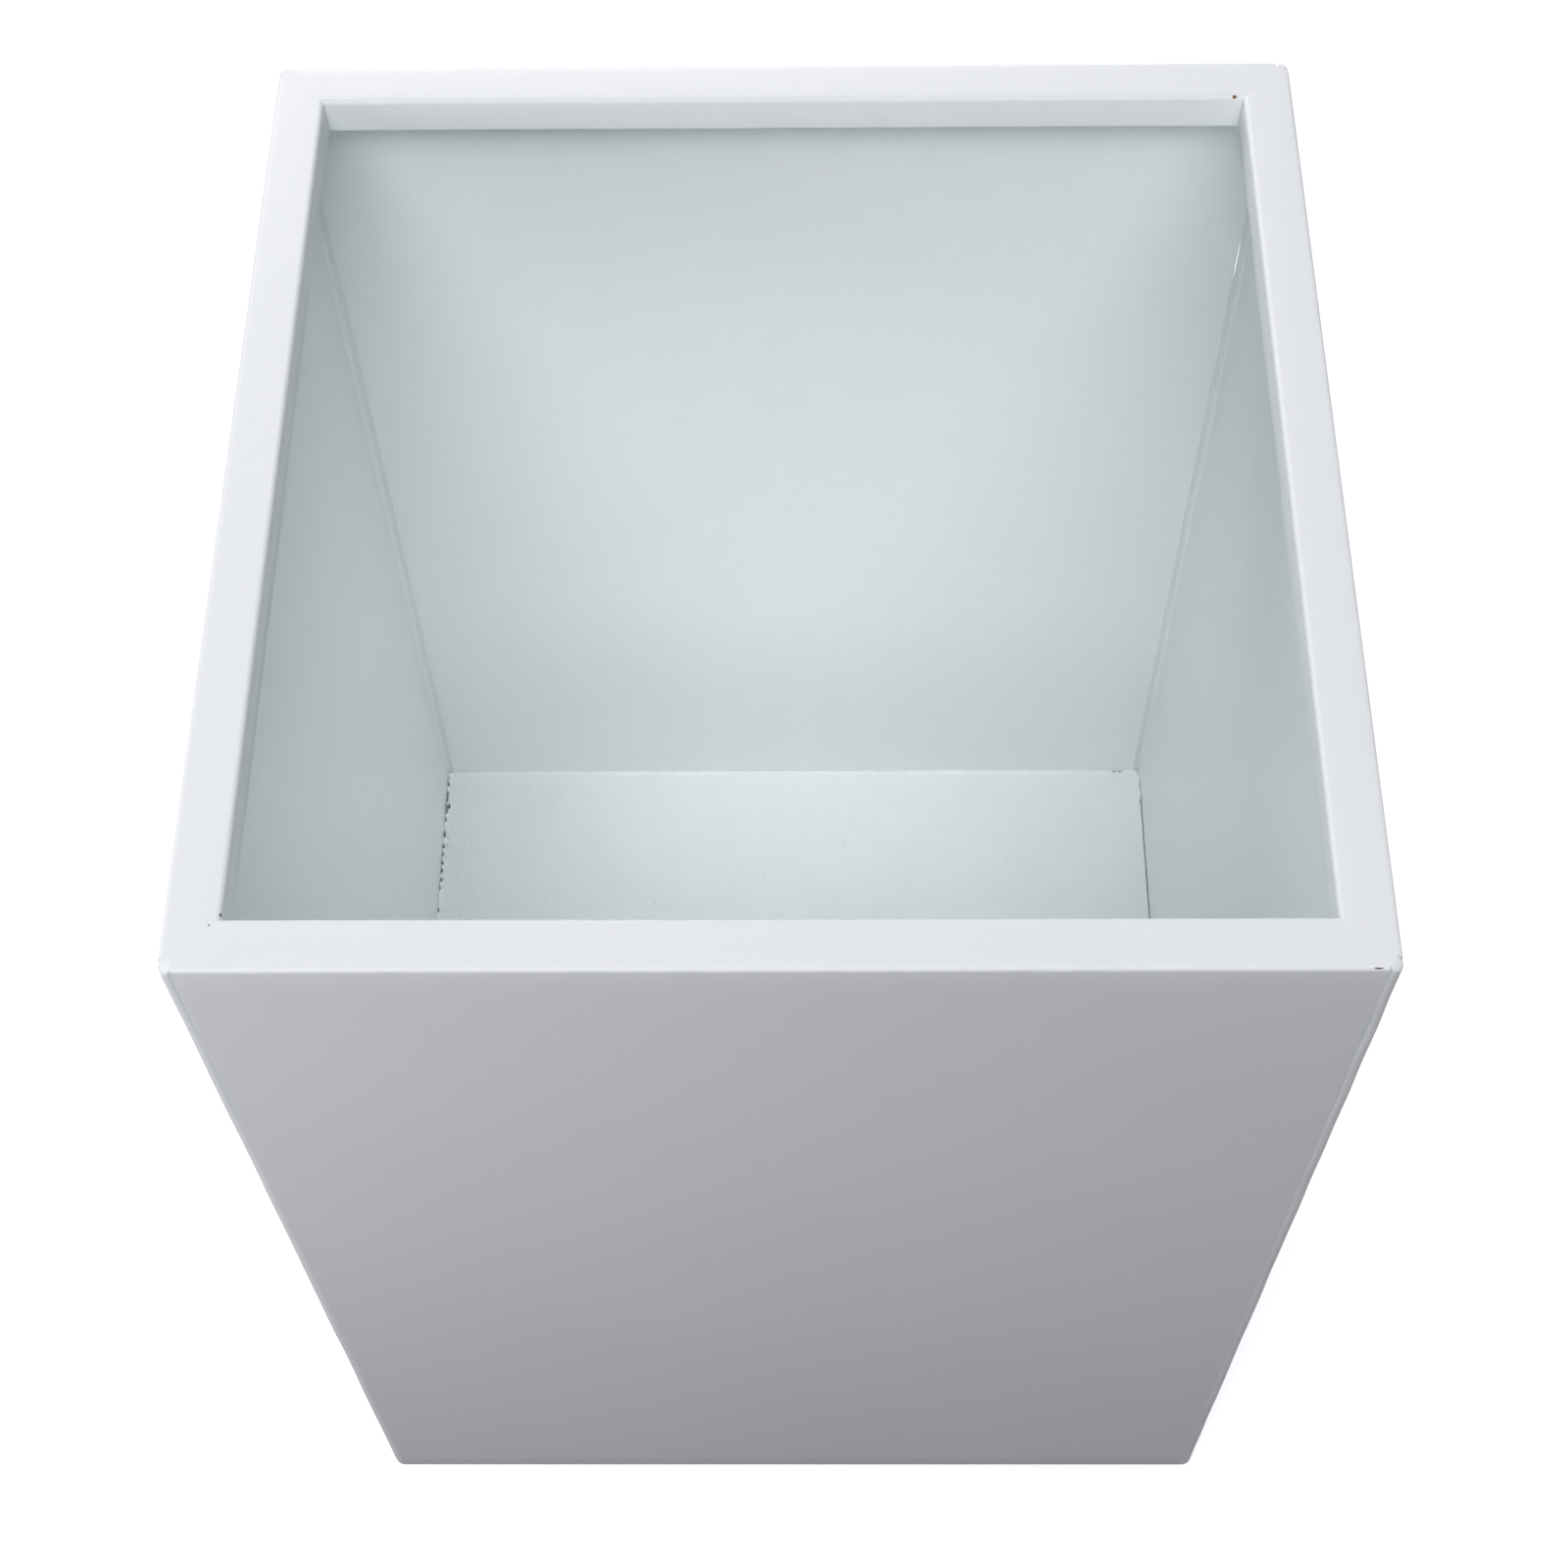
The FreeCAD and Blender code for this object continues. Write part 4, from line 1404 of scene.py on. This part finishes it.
def make_rubber(finish: Rubber) -> bpy.types.Material:
    """Write out a moulded rubber with grain and a pale bloom.

    Args:
        finish: Colours, roughness and grain of the rubber.

    Returns:
        The material.
    """
    material = bpy.data.materials.new(finish.name)
    material.use_nodes = True
    nodes, links = material.node_tree.nodes, material.node_tree.links
    nodes.clear()

    bloom_frame = nodes.new("NodeFrame")
    bloom_frame.label = "Pale bloom"
    grain_frame = nodes.new("NodeFrame")
    grain_frame.label = "Mould grain"

    coords = nodes.new("ShaderNodeTexCoord")
    coords.label = "Place on the box"
    bloom_noise = nodes.new("ShaderNodeTexNoise")
    bloom_noise.label = "Bloom and handling marks"
    bloom_range = nodes.new("ShaderNodeMapRange")
    bloom_range.label = "Bloom amount"
    bloom_mix = nodes.new("ShaderNodeMix")
    bloom_mix.label = "Rubber to bloom"
    grain_noise = nodes.new("ShaderNodeTexNoise")
    grain_noise.label = "Spark-eroded grain"
    grain_height = nodes.new("ShaderNodeMath")
    grain_height.label = "Grain depth"
    bump = nodes.new("ShaderNodeBump")
    bump.label = "Relief of the grain"
    gloss_range = nodes.new("ShaderNodeMapRange")
    gloss_range.label = "Duller where bloomed"
    shader = nodes.new("ShaderNodeBsdfPrincipled")
    shader.label = "Rubber"
    output = nodes.new("ShaderNodeOutputMaterial")
    output.label = "Moulded rubber"

    for node, spot in (
            (coords, (-1200, 0)), (gloss_range, (-500, 0)), (shader, (-200, 100)),
            (output, (120, 100))):
        node.location = spot
    for node, spot in (
            (bloom_noise, (-950, 250)), (bloom_range, (-750, 250)), (bloom_mix, (-500, 250))):
        node.parent, node.location = bloom_frame, spot
    for node, spot in (
            (grain_noise, (-950, -200)), (grain_height, (-750, -200)), (bump, (-500, -200))):
        node.parent, node.location = grain_frame, spot

    bloom_noise.inputs["Scale"].default_value = 130.0
    bloom_noise.inputs["Detail"].default_value = 5.0
    bloom_range.inputs["From Min"].default_value = 0.45
    bloom_range.inputs["From Max"].default_value = 0.75
    bloom_mix.data_type = "RGBA"
    bloom_mix.inputs[6].default_value = (*finish.colour, 1)
    bloom_mix.inputs[7].default_value = (*finish.bloom, 1)
    grain_noise.inputs["Scale"].default_value = 1 / finish.grain_size
    grain_noise.inputs["Detail"].default_value = 3.0
    grain_height.operation = "MULTIPLY"
    grain_height.inputs[1].default_value = finish.grain_depth
    bump.inputs["Strength"].default_value = 1.0
    bump.inputs["Distance"].default_value = 1.0
    gloss_range.inputs["To Min"].default_value = finish.roughness
    gloss_range.inputs["To Max"].default_value = finish.roughness + 0.12
    shader.inputs["IOR"].default_value = 1.45

    links.new(coords.outputs["Object"], bloom_noise.inputs["Vector"])
    links.new(coords.outputs["Object"], grain_noise.inputs["Vector"])
    links.new(bloom_noise.outputs["Fac"], bloom_range.inputs["Value"])
    links.new(bloom_range.outputs["Result"], bloom_mix.inputs["Factor"])
    links.new(bloom_mix.outputs[2], shader.inputs["Base Color"])
    links.new(bloom_range.outputs["Result"], gloss_range.inputs["Value"])
    links.new(gloss_range.outputs["Result"], shader.inputs["Roughness"])
    links.new(grain_noise.outputs["Fac"], grain_height.inputs[0])
    links.new(grain_height.outputs["Value"], bump.inputs["Height"])
    links.new(bump.outputs["Normal"], shader.inputs["Normal"])
    links.new(shader.outputs["BSDF"], output.inputs["Surface"])
    return material


def make_bare_or_shaded_spot(finish: BareOrShadedSpot) -> bpy.types.Material:
    """Write out a small spot that breaks up between two colours: rust, or the near-black painted
    shade of a pit.

    Args:
        finish: The two colours and the roughness.

    Returns:
        The material.
    """
    material = bpy.data.materials.new(finish.name)
    material.use_nodes = True
    nodes, links = material.node_tree.nodes, material.node_tree.links
    nodes.clear()

    # On a pit this noise only breaks up the near-black painted shade; on rust it is real scale.
    scale_frame = nodes.new("NodeFrame")
    scale_frame.label = "Scale on the steel"

    coords = nodes.new("ShaderNodeTexCoord")
    coords.label = "Place on the box"
    scale_noise = nodes.new("ShaderNodeTexNoise")
    scale_noise.label = "Crumbly scale"
    scale_mix = nodes.new("ShaderNodeMix")
    scale_mix.label = "Middle to edge"
    scale_height = nodes.new("ShaderNodeMath")
    scale_height.label = "Scale depth"
    bump = nodes.new("ShaderNodeBump")
    bump.label = "Relief of the scale"
    shader = nodes.new("ShaderNodeBsdfPrincipled")
    shader.label = "Bare spot"
    output = nodes.new("ShaderNodeOutputMaterial")
    output.label = "Spot"

    for node, spot in (
            (coords, (-900, 0)), (shader, (0, 100)), (output, (320, 100))):
        node.location = spot
    for node, spot in (
            (scale_noise, (-700, 100)), (scale_mix, (-450, 150)),
            (scale_height, (-450, -100)), (bump, (-250, -100))):
        node.parent, node.location = scale_frame, spot

    scale_noise.inputs["Scale"].default_value = 1500.0
    scale_noise.inputs["Detail"].default_value = 3.0
    scale_mix.data_type = "RGBA"
    scale_mix.inputs[6].default_value = (*finish.middle, 1)
    scale_mix.inputs[7].default_value = (*finish.edge, 1)
    scale_height.operation = "MULTIPLY"
    scale_height.inputs[1].default_value = 0.1 * MM
    bump.inputs["Strength"].default_value = 1.0
    bump.inputs["Distance"].default_value = 1.0
    shader.inputs["Roughness"].default_value = finish.roughness

    links.new(coords.outputs["Object"], scale_noise.inputs["Vector"])
    links.new(scale_noise.outputs["Fac"], scale_mix.inputs["Factor"])
    links.new(scale_noise.outputs["Fac"], scale_height.inputs[0])
    links.new(scale_mix.outputs[2], shader.inputs["Base Color"])
    links.new(scale_height.outputs["Value"], bump.inputs["Height"])
    links.new(bump.outputs["Normal"], shader.inputs["Normal"])
    links.new(shader.outputs["BSDF"], output.inputs["Surface"])
    return material


# ---------------------------------------------------------------- the whole planter


@dataclass
class Planter:
    """The planter box with all its pieces and finishes."""

    sizes: BoxSizes = field(default_factory=BoxSizes.from_frame)

    def finishes(self) -> dict[str, bpy.types.Material]:
        """Make every finish the pieces use.

        Returns:
            Materials by their short names.
        """
        white: Colour = (0.902, 0.945, 0.934)
        thin: Colour = (0.842, 0.888, 0.874)
        return {
            "wall": make_powder_coat(PowderCoat("wall_powder_coat", white, thin)),
            "seam": make_powder_coat(PowderCoat(
                "seam_powder_coat", white, thin, peel_depth=0.020 * MM)),
            "floor": make_powder_coat(PowderCoat(
                "floor_powder_coat", white, (0.79, 0.84, 0.82), drift=0.35, roughness=0.40,
                peel_size=2.0 * MM, peel_depth=0.035 * MM, nib_share=0.5,
                nib_height=0.12 * MM, pinhole_spacing=7 * MM, pinhole_share=0.10,
                pinhole_radius=0.07, mottle_depth=0.20 * MM, mark_size=3.4 * MM,
                mark_depth=1.4 * MM, dressed_dulling=0.2)),
            "under": make_powder_coat(PowderCoat(
                "underside_powder_coat", white, thin, drift=0.8, roughness=0.45,
                mottle_depth=0.06 * MM)),
            # The pit's near-black is painted shade of a hollow in the coat; the rust is the
            # spot's own colour.
            "shaded_pit": make_bare_or_shaded_spot(BareOrShadedSpot(
                "pit_painted_shade", (0.05, 0.05, 0.05), (0.16, 0.15, 0.14), 0.8)),
            "rust": make_bare_or_shaded_spot(BareOrShadedSpot(
                "rust_spot", (0.12, 0.06, 0.02), (0.55, 0.36, 0.12), 0.85)),
            "plug": make_rubber(Rubber(
                "plug_rubber", (0.30, 0.31, 0.31), (0.42, 0.43, 0.43), 0.55)),
            "pad": make_rubber(Rubber(
                "pad_rubber", (0.025, 0.025, 0.025), (0.07, 0.07, 0.07), 0.62)),
        }

    def walls(self) -> list[WallPanel]:
        """Lay out the four walls with the flaws that each one shows.

        Returns:
            The walls, front first.
        """
        s = self.sizes
        face = -s.half + 0.35 * MM
        front = (
            Fleck((0.0400, face, 0.561), (0, -1, 0), (1.5 * MM, 1.3 * MM), 0.22 * MM),
            Fleck((0.1056, face, 0.547), (0, -1, 0), (2.0 * MM, 1.0 * MM), 0.20 * MM),
            Fleck((-0.0590, face, 0.548), (0, -1, 0), (1.2 * MM, 0.9 * MM), 0.18 * MM),
            Fleck((-0.0440, face, 0.429), (0, -1, 0), (0.9 * MM, 0.9 * MM), 0.18 * MM),
            # The two pits below are near-black drops: painted shade of a slit in the rim bend
            # and of a pinhole at the corner.
            Fleck((0.2397, -s.half + 0.72 * MM, s.top - 0.72 * MM), (0, -1, 1),
                  (4.2 * MM, 0.7 * MM), 0.10 * MM, Blemish.SHADED_PIT),
            Fleck((-0.2306, -0.2292, s.top - 0.1 * MM), (0, 0, 1),
                  (0.8 * MM, 0.8 * MM), 0.10 * MM, Blemish.SHADED_PIT),
        )
        back = (
            Fleck((0.2216, 0.2267, s.top - 0.72 * MM), (0, -1.0, 1),
                  (2.2 * MM, 1.9 * MM), 0.22 * MM, Blemish.RUST),
            # A near-black drop in the middle of the rust: painted shade of its pit.
            Fleck((0.2214, 0.2265, s.top - 0.68 * MM), (0, -1.0, 1),
                  (0.8 * MM, 0.8 * MM), 0.27 * MM, Blemish.SHADED_PIT),
        )
        left = (
            # A near-black drop at the rim corner: painted shade of a pit.
            Fleck((-0.2266, -0.2243, s.top - 0.60 * MM), (1, 0, 1),
                  (1.6 * MM, 1.0 * MM), 0.22 * MM, Blemish.SHADED_PIT),
        )
        right = (
            Fleck((s.half - s.gauge - 0.45 * MM, 0.1819, 0.3204), (-1, 0, 0),
                  (4.0 * MM, 3.0 * MM), 0.35 * MM),
            Fleck((s.half - s.gauge - 0.45 * MM, 0.1880, 0.3190), (-1, 0, 0),
                  (3.2 * MM, 1.6 * MM), 0.25 * MM),
        )
        return [
            WallPanel(Side.FRONT, s, bend_bumps=(-0.155, -0.037, 0.098), flecks=front),
            WallPanel(Side.RIGHT, s, flecks=right),
            WallPanel(Side.BACK, s, flecks=back),
            WallPanel(Side.LEFT, s, flecks=left),
        ]

    def seams(self) -> list[CornerSeam]:
        """Lay out the four dressed corners, each worked a little differently.

        Returns:
            The seams, front left first.
        """
        s = self.sizes
        return [
            CornerSeam(Corner.FRONT_LEFT, s, 3.8 * MM, 6.0 * MM, flat=0.03, dome=1.9 * MM),
            CornerSeam(Corner.FRONT_RIGHT, s, 3.2 * MM, 6.0 * MM, flat=0.01, dome=0.7 * MM,
                       drip=0.7 * MM),
            CornerSeam(Corner.BACK_RIGHT, s, 3.0 * MM, 5.0 * MM, flat=0.13, dome=0.3 * MM),
            CornerSeam(Corner.BACK_LEFT, s, 4.0 * MM, 5.5 * MM, flat=0.01, dome=0.3 * MM),
        ]

    def floor_flecks(self) -> tuple[Fleck, ...]:
        """Lay out the pits and nibs along the floor's edges; the pits are near-black drops,
        painted shade of holes and a chip along the seam.

        Returns:
            The flaws of the floor.
        """
        z = self.sizes.floor_top
        pits = ((-0.2453, 0.1943, 1.0), (-0.2449, 0.1887, 0.8), (-0.2456, 0.1784, 0.9),
                (-0.2461, 0.1697, 0.8), (-0.2462, 0.1611, 0.9), (-0.2458, 0.1549, 0.7),
                (-0.2440, 0.2050, 0.6), (-0.1997, 0.2280, 0.5))
        found = [Fleck((x, y, z + 0.05 * MM), (0, 0, 1), (size * MM, size * MM), 0.12 * MM,
                       Blemish.SHADED_PIT) for x, y, size in pits]
        found.append(Fleck((-0.2460, 0.2200, z + 0.3 * MM), (0, 0, 1),
                           (1.6 * MM, 4.0 * MM), 0.35 * MM, Blemish.SHADED_PIT))
        found.append(Fleck((-0.2465, 0.2472, z + 0.6 * MM), (0, 0, 1),
                           (1.6 * MM, 1.4 * MM), 0.5 * MM))
        return tuple(found)

    def build(self) -> None:
        """Build and dress every piece in turn."""
        coats = self.finishes()
        spots = [coats["shaded_pit"], coats["rust"]]
        for wall in self.walls():
            wall.build([coats["wall"], *spots])
        for seam in self.seams():
            seam.build([coats["seam"], *spots])
        FloorTray(self.sizes, flecks=self.floor_flecks()).build([coats["floor"], *spots])
        for node in ("floor_stiffener_front", "floor_stiffener_back"):
            Stiffener(node, self.sizes).build([coats["under"]])
        for node in ("floor_stitches", "stiffener_stitches"):
            StitchWelds(node).build(self.sizes, [coats["under"]])
        DrainPlug(self.sizes).build([coats["plug"]])
        for corner in Corner:
            FootPad(corner).build([coats["pad"]])


# ---------------------------------------------------------------- stage, light and camera


@dataclass(frozen=True)
class SoftLight:
    """One soft studio light, aimed at a point of the planter."""

    name: str
    at: Point
    aim: Point
    size: tuple[float, float]
    power: float
    colour: Colour = (0.965, 0.942, 0.995)
    spread: float = 180.0

    def place(self) -> bpy.types.Object:
        """Put the light into the scene.

        Returns:
            The light's object.
        """
        lamp = bpy.data.lights.new(self.name, "AREA")
        lamp.shape = "RECTANGLE"
        lamp.size, lamp.size_y = self.size
        lamp.energy = self.power
        lamp.color = self.colour
        lamp.spread = math.radians(self.spread)
        stand = bpy.data.objects.new(self.name, lamp)
        away = np.array(self.at) - np.array(self.aim)
        away /= np.linalg.norm(away)
        side = np.cross((0.0, 1.0, 0.0) if abs(away[2]) > 0.98 else (0.0, 0.0, 1.0), away)
        side /= np.linalg.norm(side)
        turn = Matrix(np.stack([side, np.cross(away, side), away], 1).tolist()).to_4x4()
        stand.matrix_world = Matrix.Translation(self.at) @ turn
        bpy.context.scene.collection.objects.link(stand)
        stand.visible_camera = False
        return stand


@dataclass(frozen=True)
class Studio:
    """Plain pale floor, soft light and the camera."""

    floor_size: float = 14.0
    floor_colour: Colour = (0.93, 0.93, 0.93)
    floor_glow: float = 0.36
    backdrop: Colour = (0.86, 0.87, 0.88)
    lens: float = 60.437
    camera_at: Point = (0.01355, -0.7178, 1.64895)
    pitch: float = 59.608
    yaw: float = 1.208
    roll: float = -1.191
    lights: tuple[SoftLight, ...] = (
        SoftLight("left_softbox", (-1.2, -3.8, 6.0), (0, 0, 0.4), (2.4, 2.4), 172.0),
        SoftLight("right_softbox", (1.2, -3.8, 6.0), (0, 0, 0.4), (2.4, 2.4), 135.0),
        SoftLight("top_softbox", (0, -1.4, 6.2), (0, 0, 0.4), (2.2, 2.2), 43.0),
        SoftLight("cavity_fill", (0, -0.02, 0.85), (0, 0, 0), (0.20, 0.20), 0.175, spread=80),
        SoftLight("back_softbox", (-0.8, 2.6, 1.9), (0, 0, 0.6), (2.6, 1.4), 63.0),
        SoftLight("low_left_fill", (-0.95, -0.85, 0.75), (-0.2, -0.25, 0.4), (0.5, 0.5), 3.5),
        SoftLight("right_side_fill", (2.2, 0.35, 0.40), (0.25, 0.35, 0.40), (1.2, 0.5), 13.0),
        SoftLight("left_side_fill", (-2.2, 0.35, 0.40), (-0.25, 0.35, 0.40), (1.2, 0.5), 9.0),
    )

    def floor_material(self) -> bpy.types.Material:
        """Write out the pale floor paint with a faint unevenness.

        Returns:
            The material.
        """
        material = bpy.data.materials.new("stage_paint")
        material.use_nodes = True
        nodes, links = material.node_tree.nodes, material.node_tree.links
        nodes.clear()

        coords = nodes.new("ShaderNodeTexCoord")
        coords.label = "Place on the floor"
        noise = nodes.new("ShaderNodeTexNoise")
        noise.label = "Faint roller marks"
        gloss = nodes.new("ShaderNodeMapRange")
        gloss.label = "Gloss of the paint"
        shader = nodes.new("ShaderNodeBsdfPrincipled")
        shader.label = "Floor paint"
        output = nodes.new("ShaderNodeOutputMaterial")
        output.label = "Stage floor"

        for node, spot in (
                (coords, (-800, 0)), (noise, (-600, 0)), (gloss, (-400, 0)),
                (shader, (-150, 0)), (output, (180, 0))):
            node.location = spot

        noise.inputs["Scale"].default_value = 3.0
        gloss.inputs["To Min"].default_value = STAGE_GLOSS[0]
        gloss.inputs["To Max"].default_value = STAGE_GLOSS[1]
        shader.inputs["Base Color"].default_value = (*self.floor_colour, 1)
        shader.inputs["Specular IOR Level"].default_value = 0.1
        shader.inputs["Emission Color"].default_value = (1, 1, 1, 1)
        shader.inputs["Emission Strength"].default_value = self.floor_glow

        links.new(coords.outputs["Object"], noise.inputs["Vector"])
        links.new(noise.outputs["Fac"], gloss.inputs["Value"])
        links.new(gloss.outputs["Result"], shader.inputs["Roughness"])
        links.new(shader.outputs["BSDF"], output.inputs["Surface"])
        return material

    def lay_floor(self) -> None:
        """Lay the stage floor as one square at height zero, with its bounced light left out."""
        half = self.floor_size / 2
        mesh = bpy.data.meshes.new("stage_floor")
        mesh.from_pydata([(-half, -half, 0), (half, -half, 0), (half, half, 0),
                          (-half, half, 0)], [], [(0, 1, 2, 3)])
        mesh.materials.append(self.floor_material())
        floor = bpy.data.objects.new("stage_floor", mesh)
        bpy.context.scene.collection.objects.link(floor)
        floor.visible_diffuse = False
        floor.visible_glossy = False

    def set_world(self) -> None:
        """Give the world one pale shade that is seen but doesn't light the planter."""
        world = bpy.data.worlds.new("studio")
        world.use_nodes = True
        glow = world.node_tree.nodes["Background"]
        glow.inputs["Color"].default_value = (*self.backdrop, 1)
        glow.inputs["Strength"].default_value = 1.0
        world.cycles_visibility.diffuse = False
        world.cycles_visibility.glossy = False
        bpy.context.scene.world = world

    def set_camera(self) -> None:
        """Set up the camera: tilted down, turned a little and rolled a little."""
        eye = bpy.data.cameras.new("camera")
        eye.lens = self.lens
        eye.sensor_width = 36.0
        eye.clip_start = 0.05
        stand = bpy.data.objects.new("camera", eye)
        stand.matrix_world = (Matrix.Translation(self.camera_at)
                              @ Matrix.Rotation(math.radians(self.yaw), 4, "Z")
                              @ Matrix.Rotation(math.radians(90 - self.pitch), 4, "X")
                              @ Matrix.Rotation(math.radians(self.roll), 4, "Z"))
        bpy.context.scene.collection.objects.link(stand)
        bpy.context.scene.camera = stand

    def build(self) -> None:
        """Set up floor, world, lights, camera and view."""
        self.lay_floor()
        self.set_world()
        for light in self.lights:
            light.place()
        self.set_camera()
        bpy.context.scene.view_settings.view_transform = "Standard"
        bpy.context.scene.cycles.diffuse_bounces = DIFFUSE_BOUNCES


def main() -> None:
    """Build the planter and the studio."""
    logging.basicConfig(level=logging.INFO, format="%(message)s")
    Planter().build()
    Studio().build()


if __name__ == "__main__":
    main()
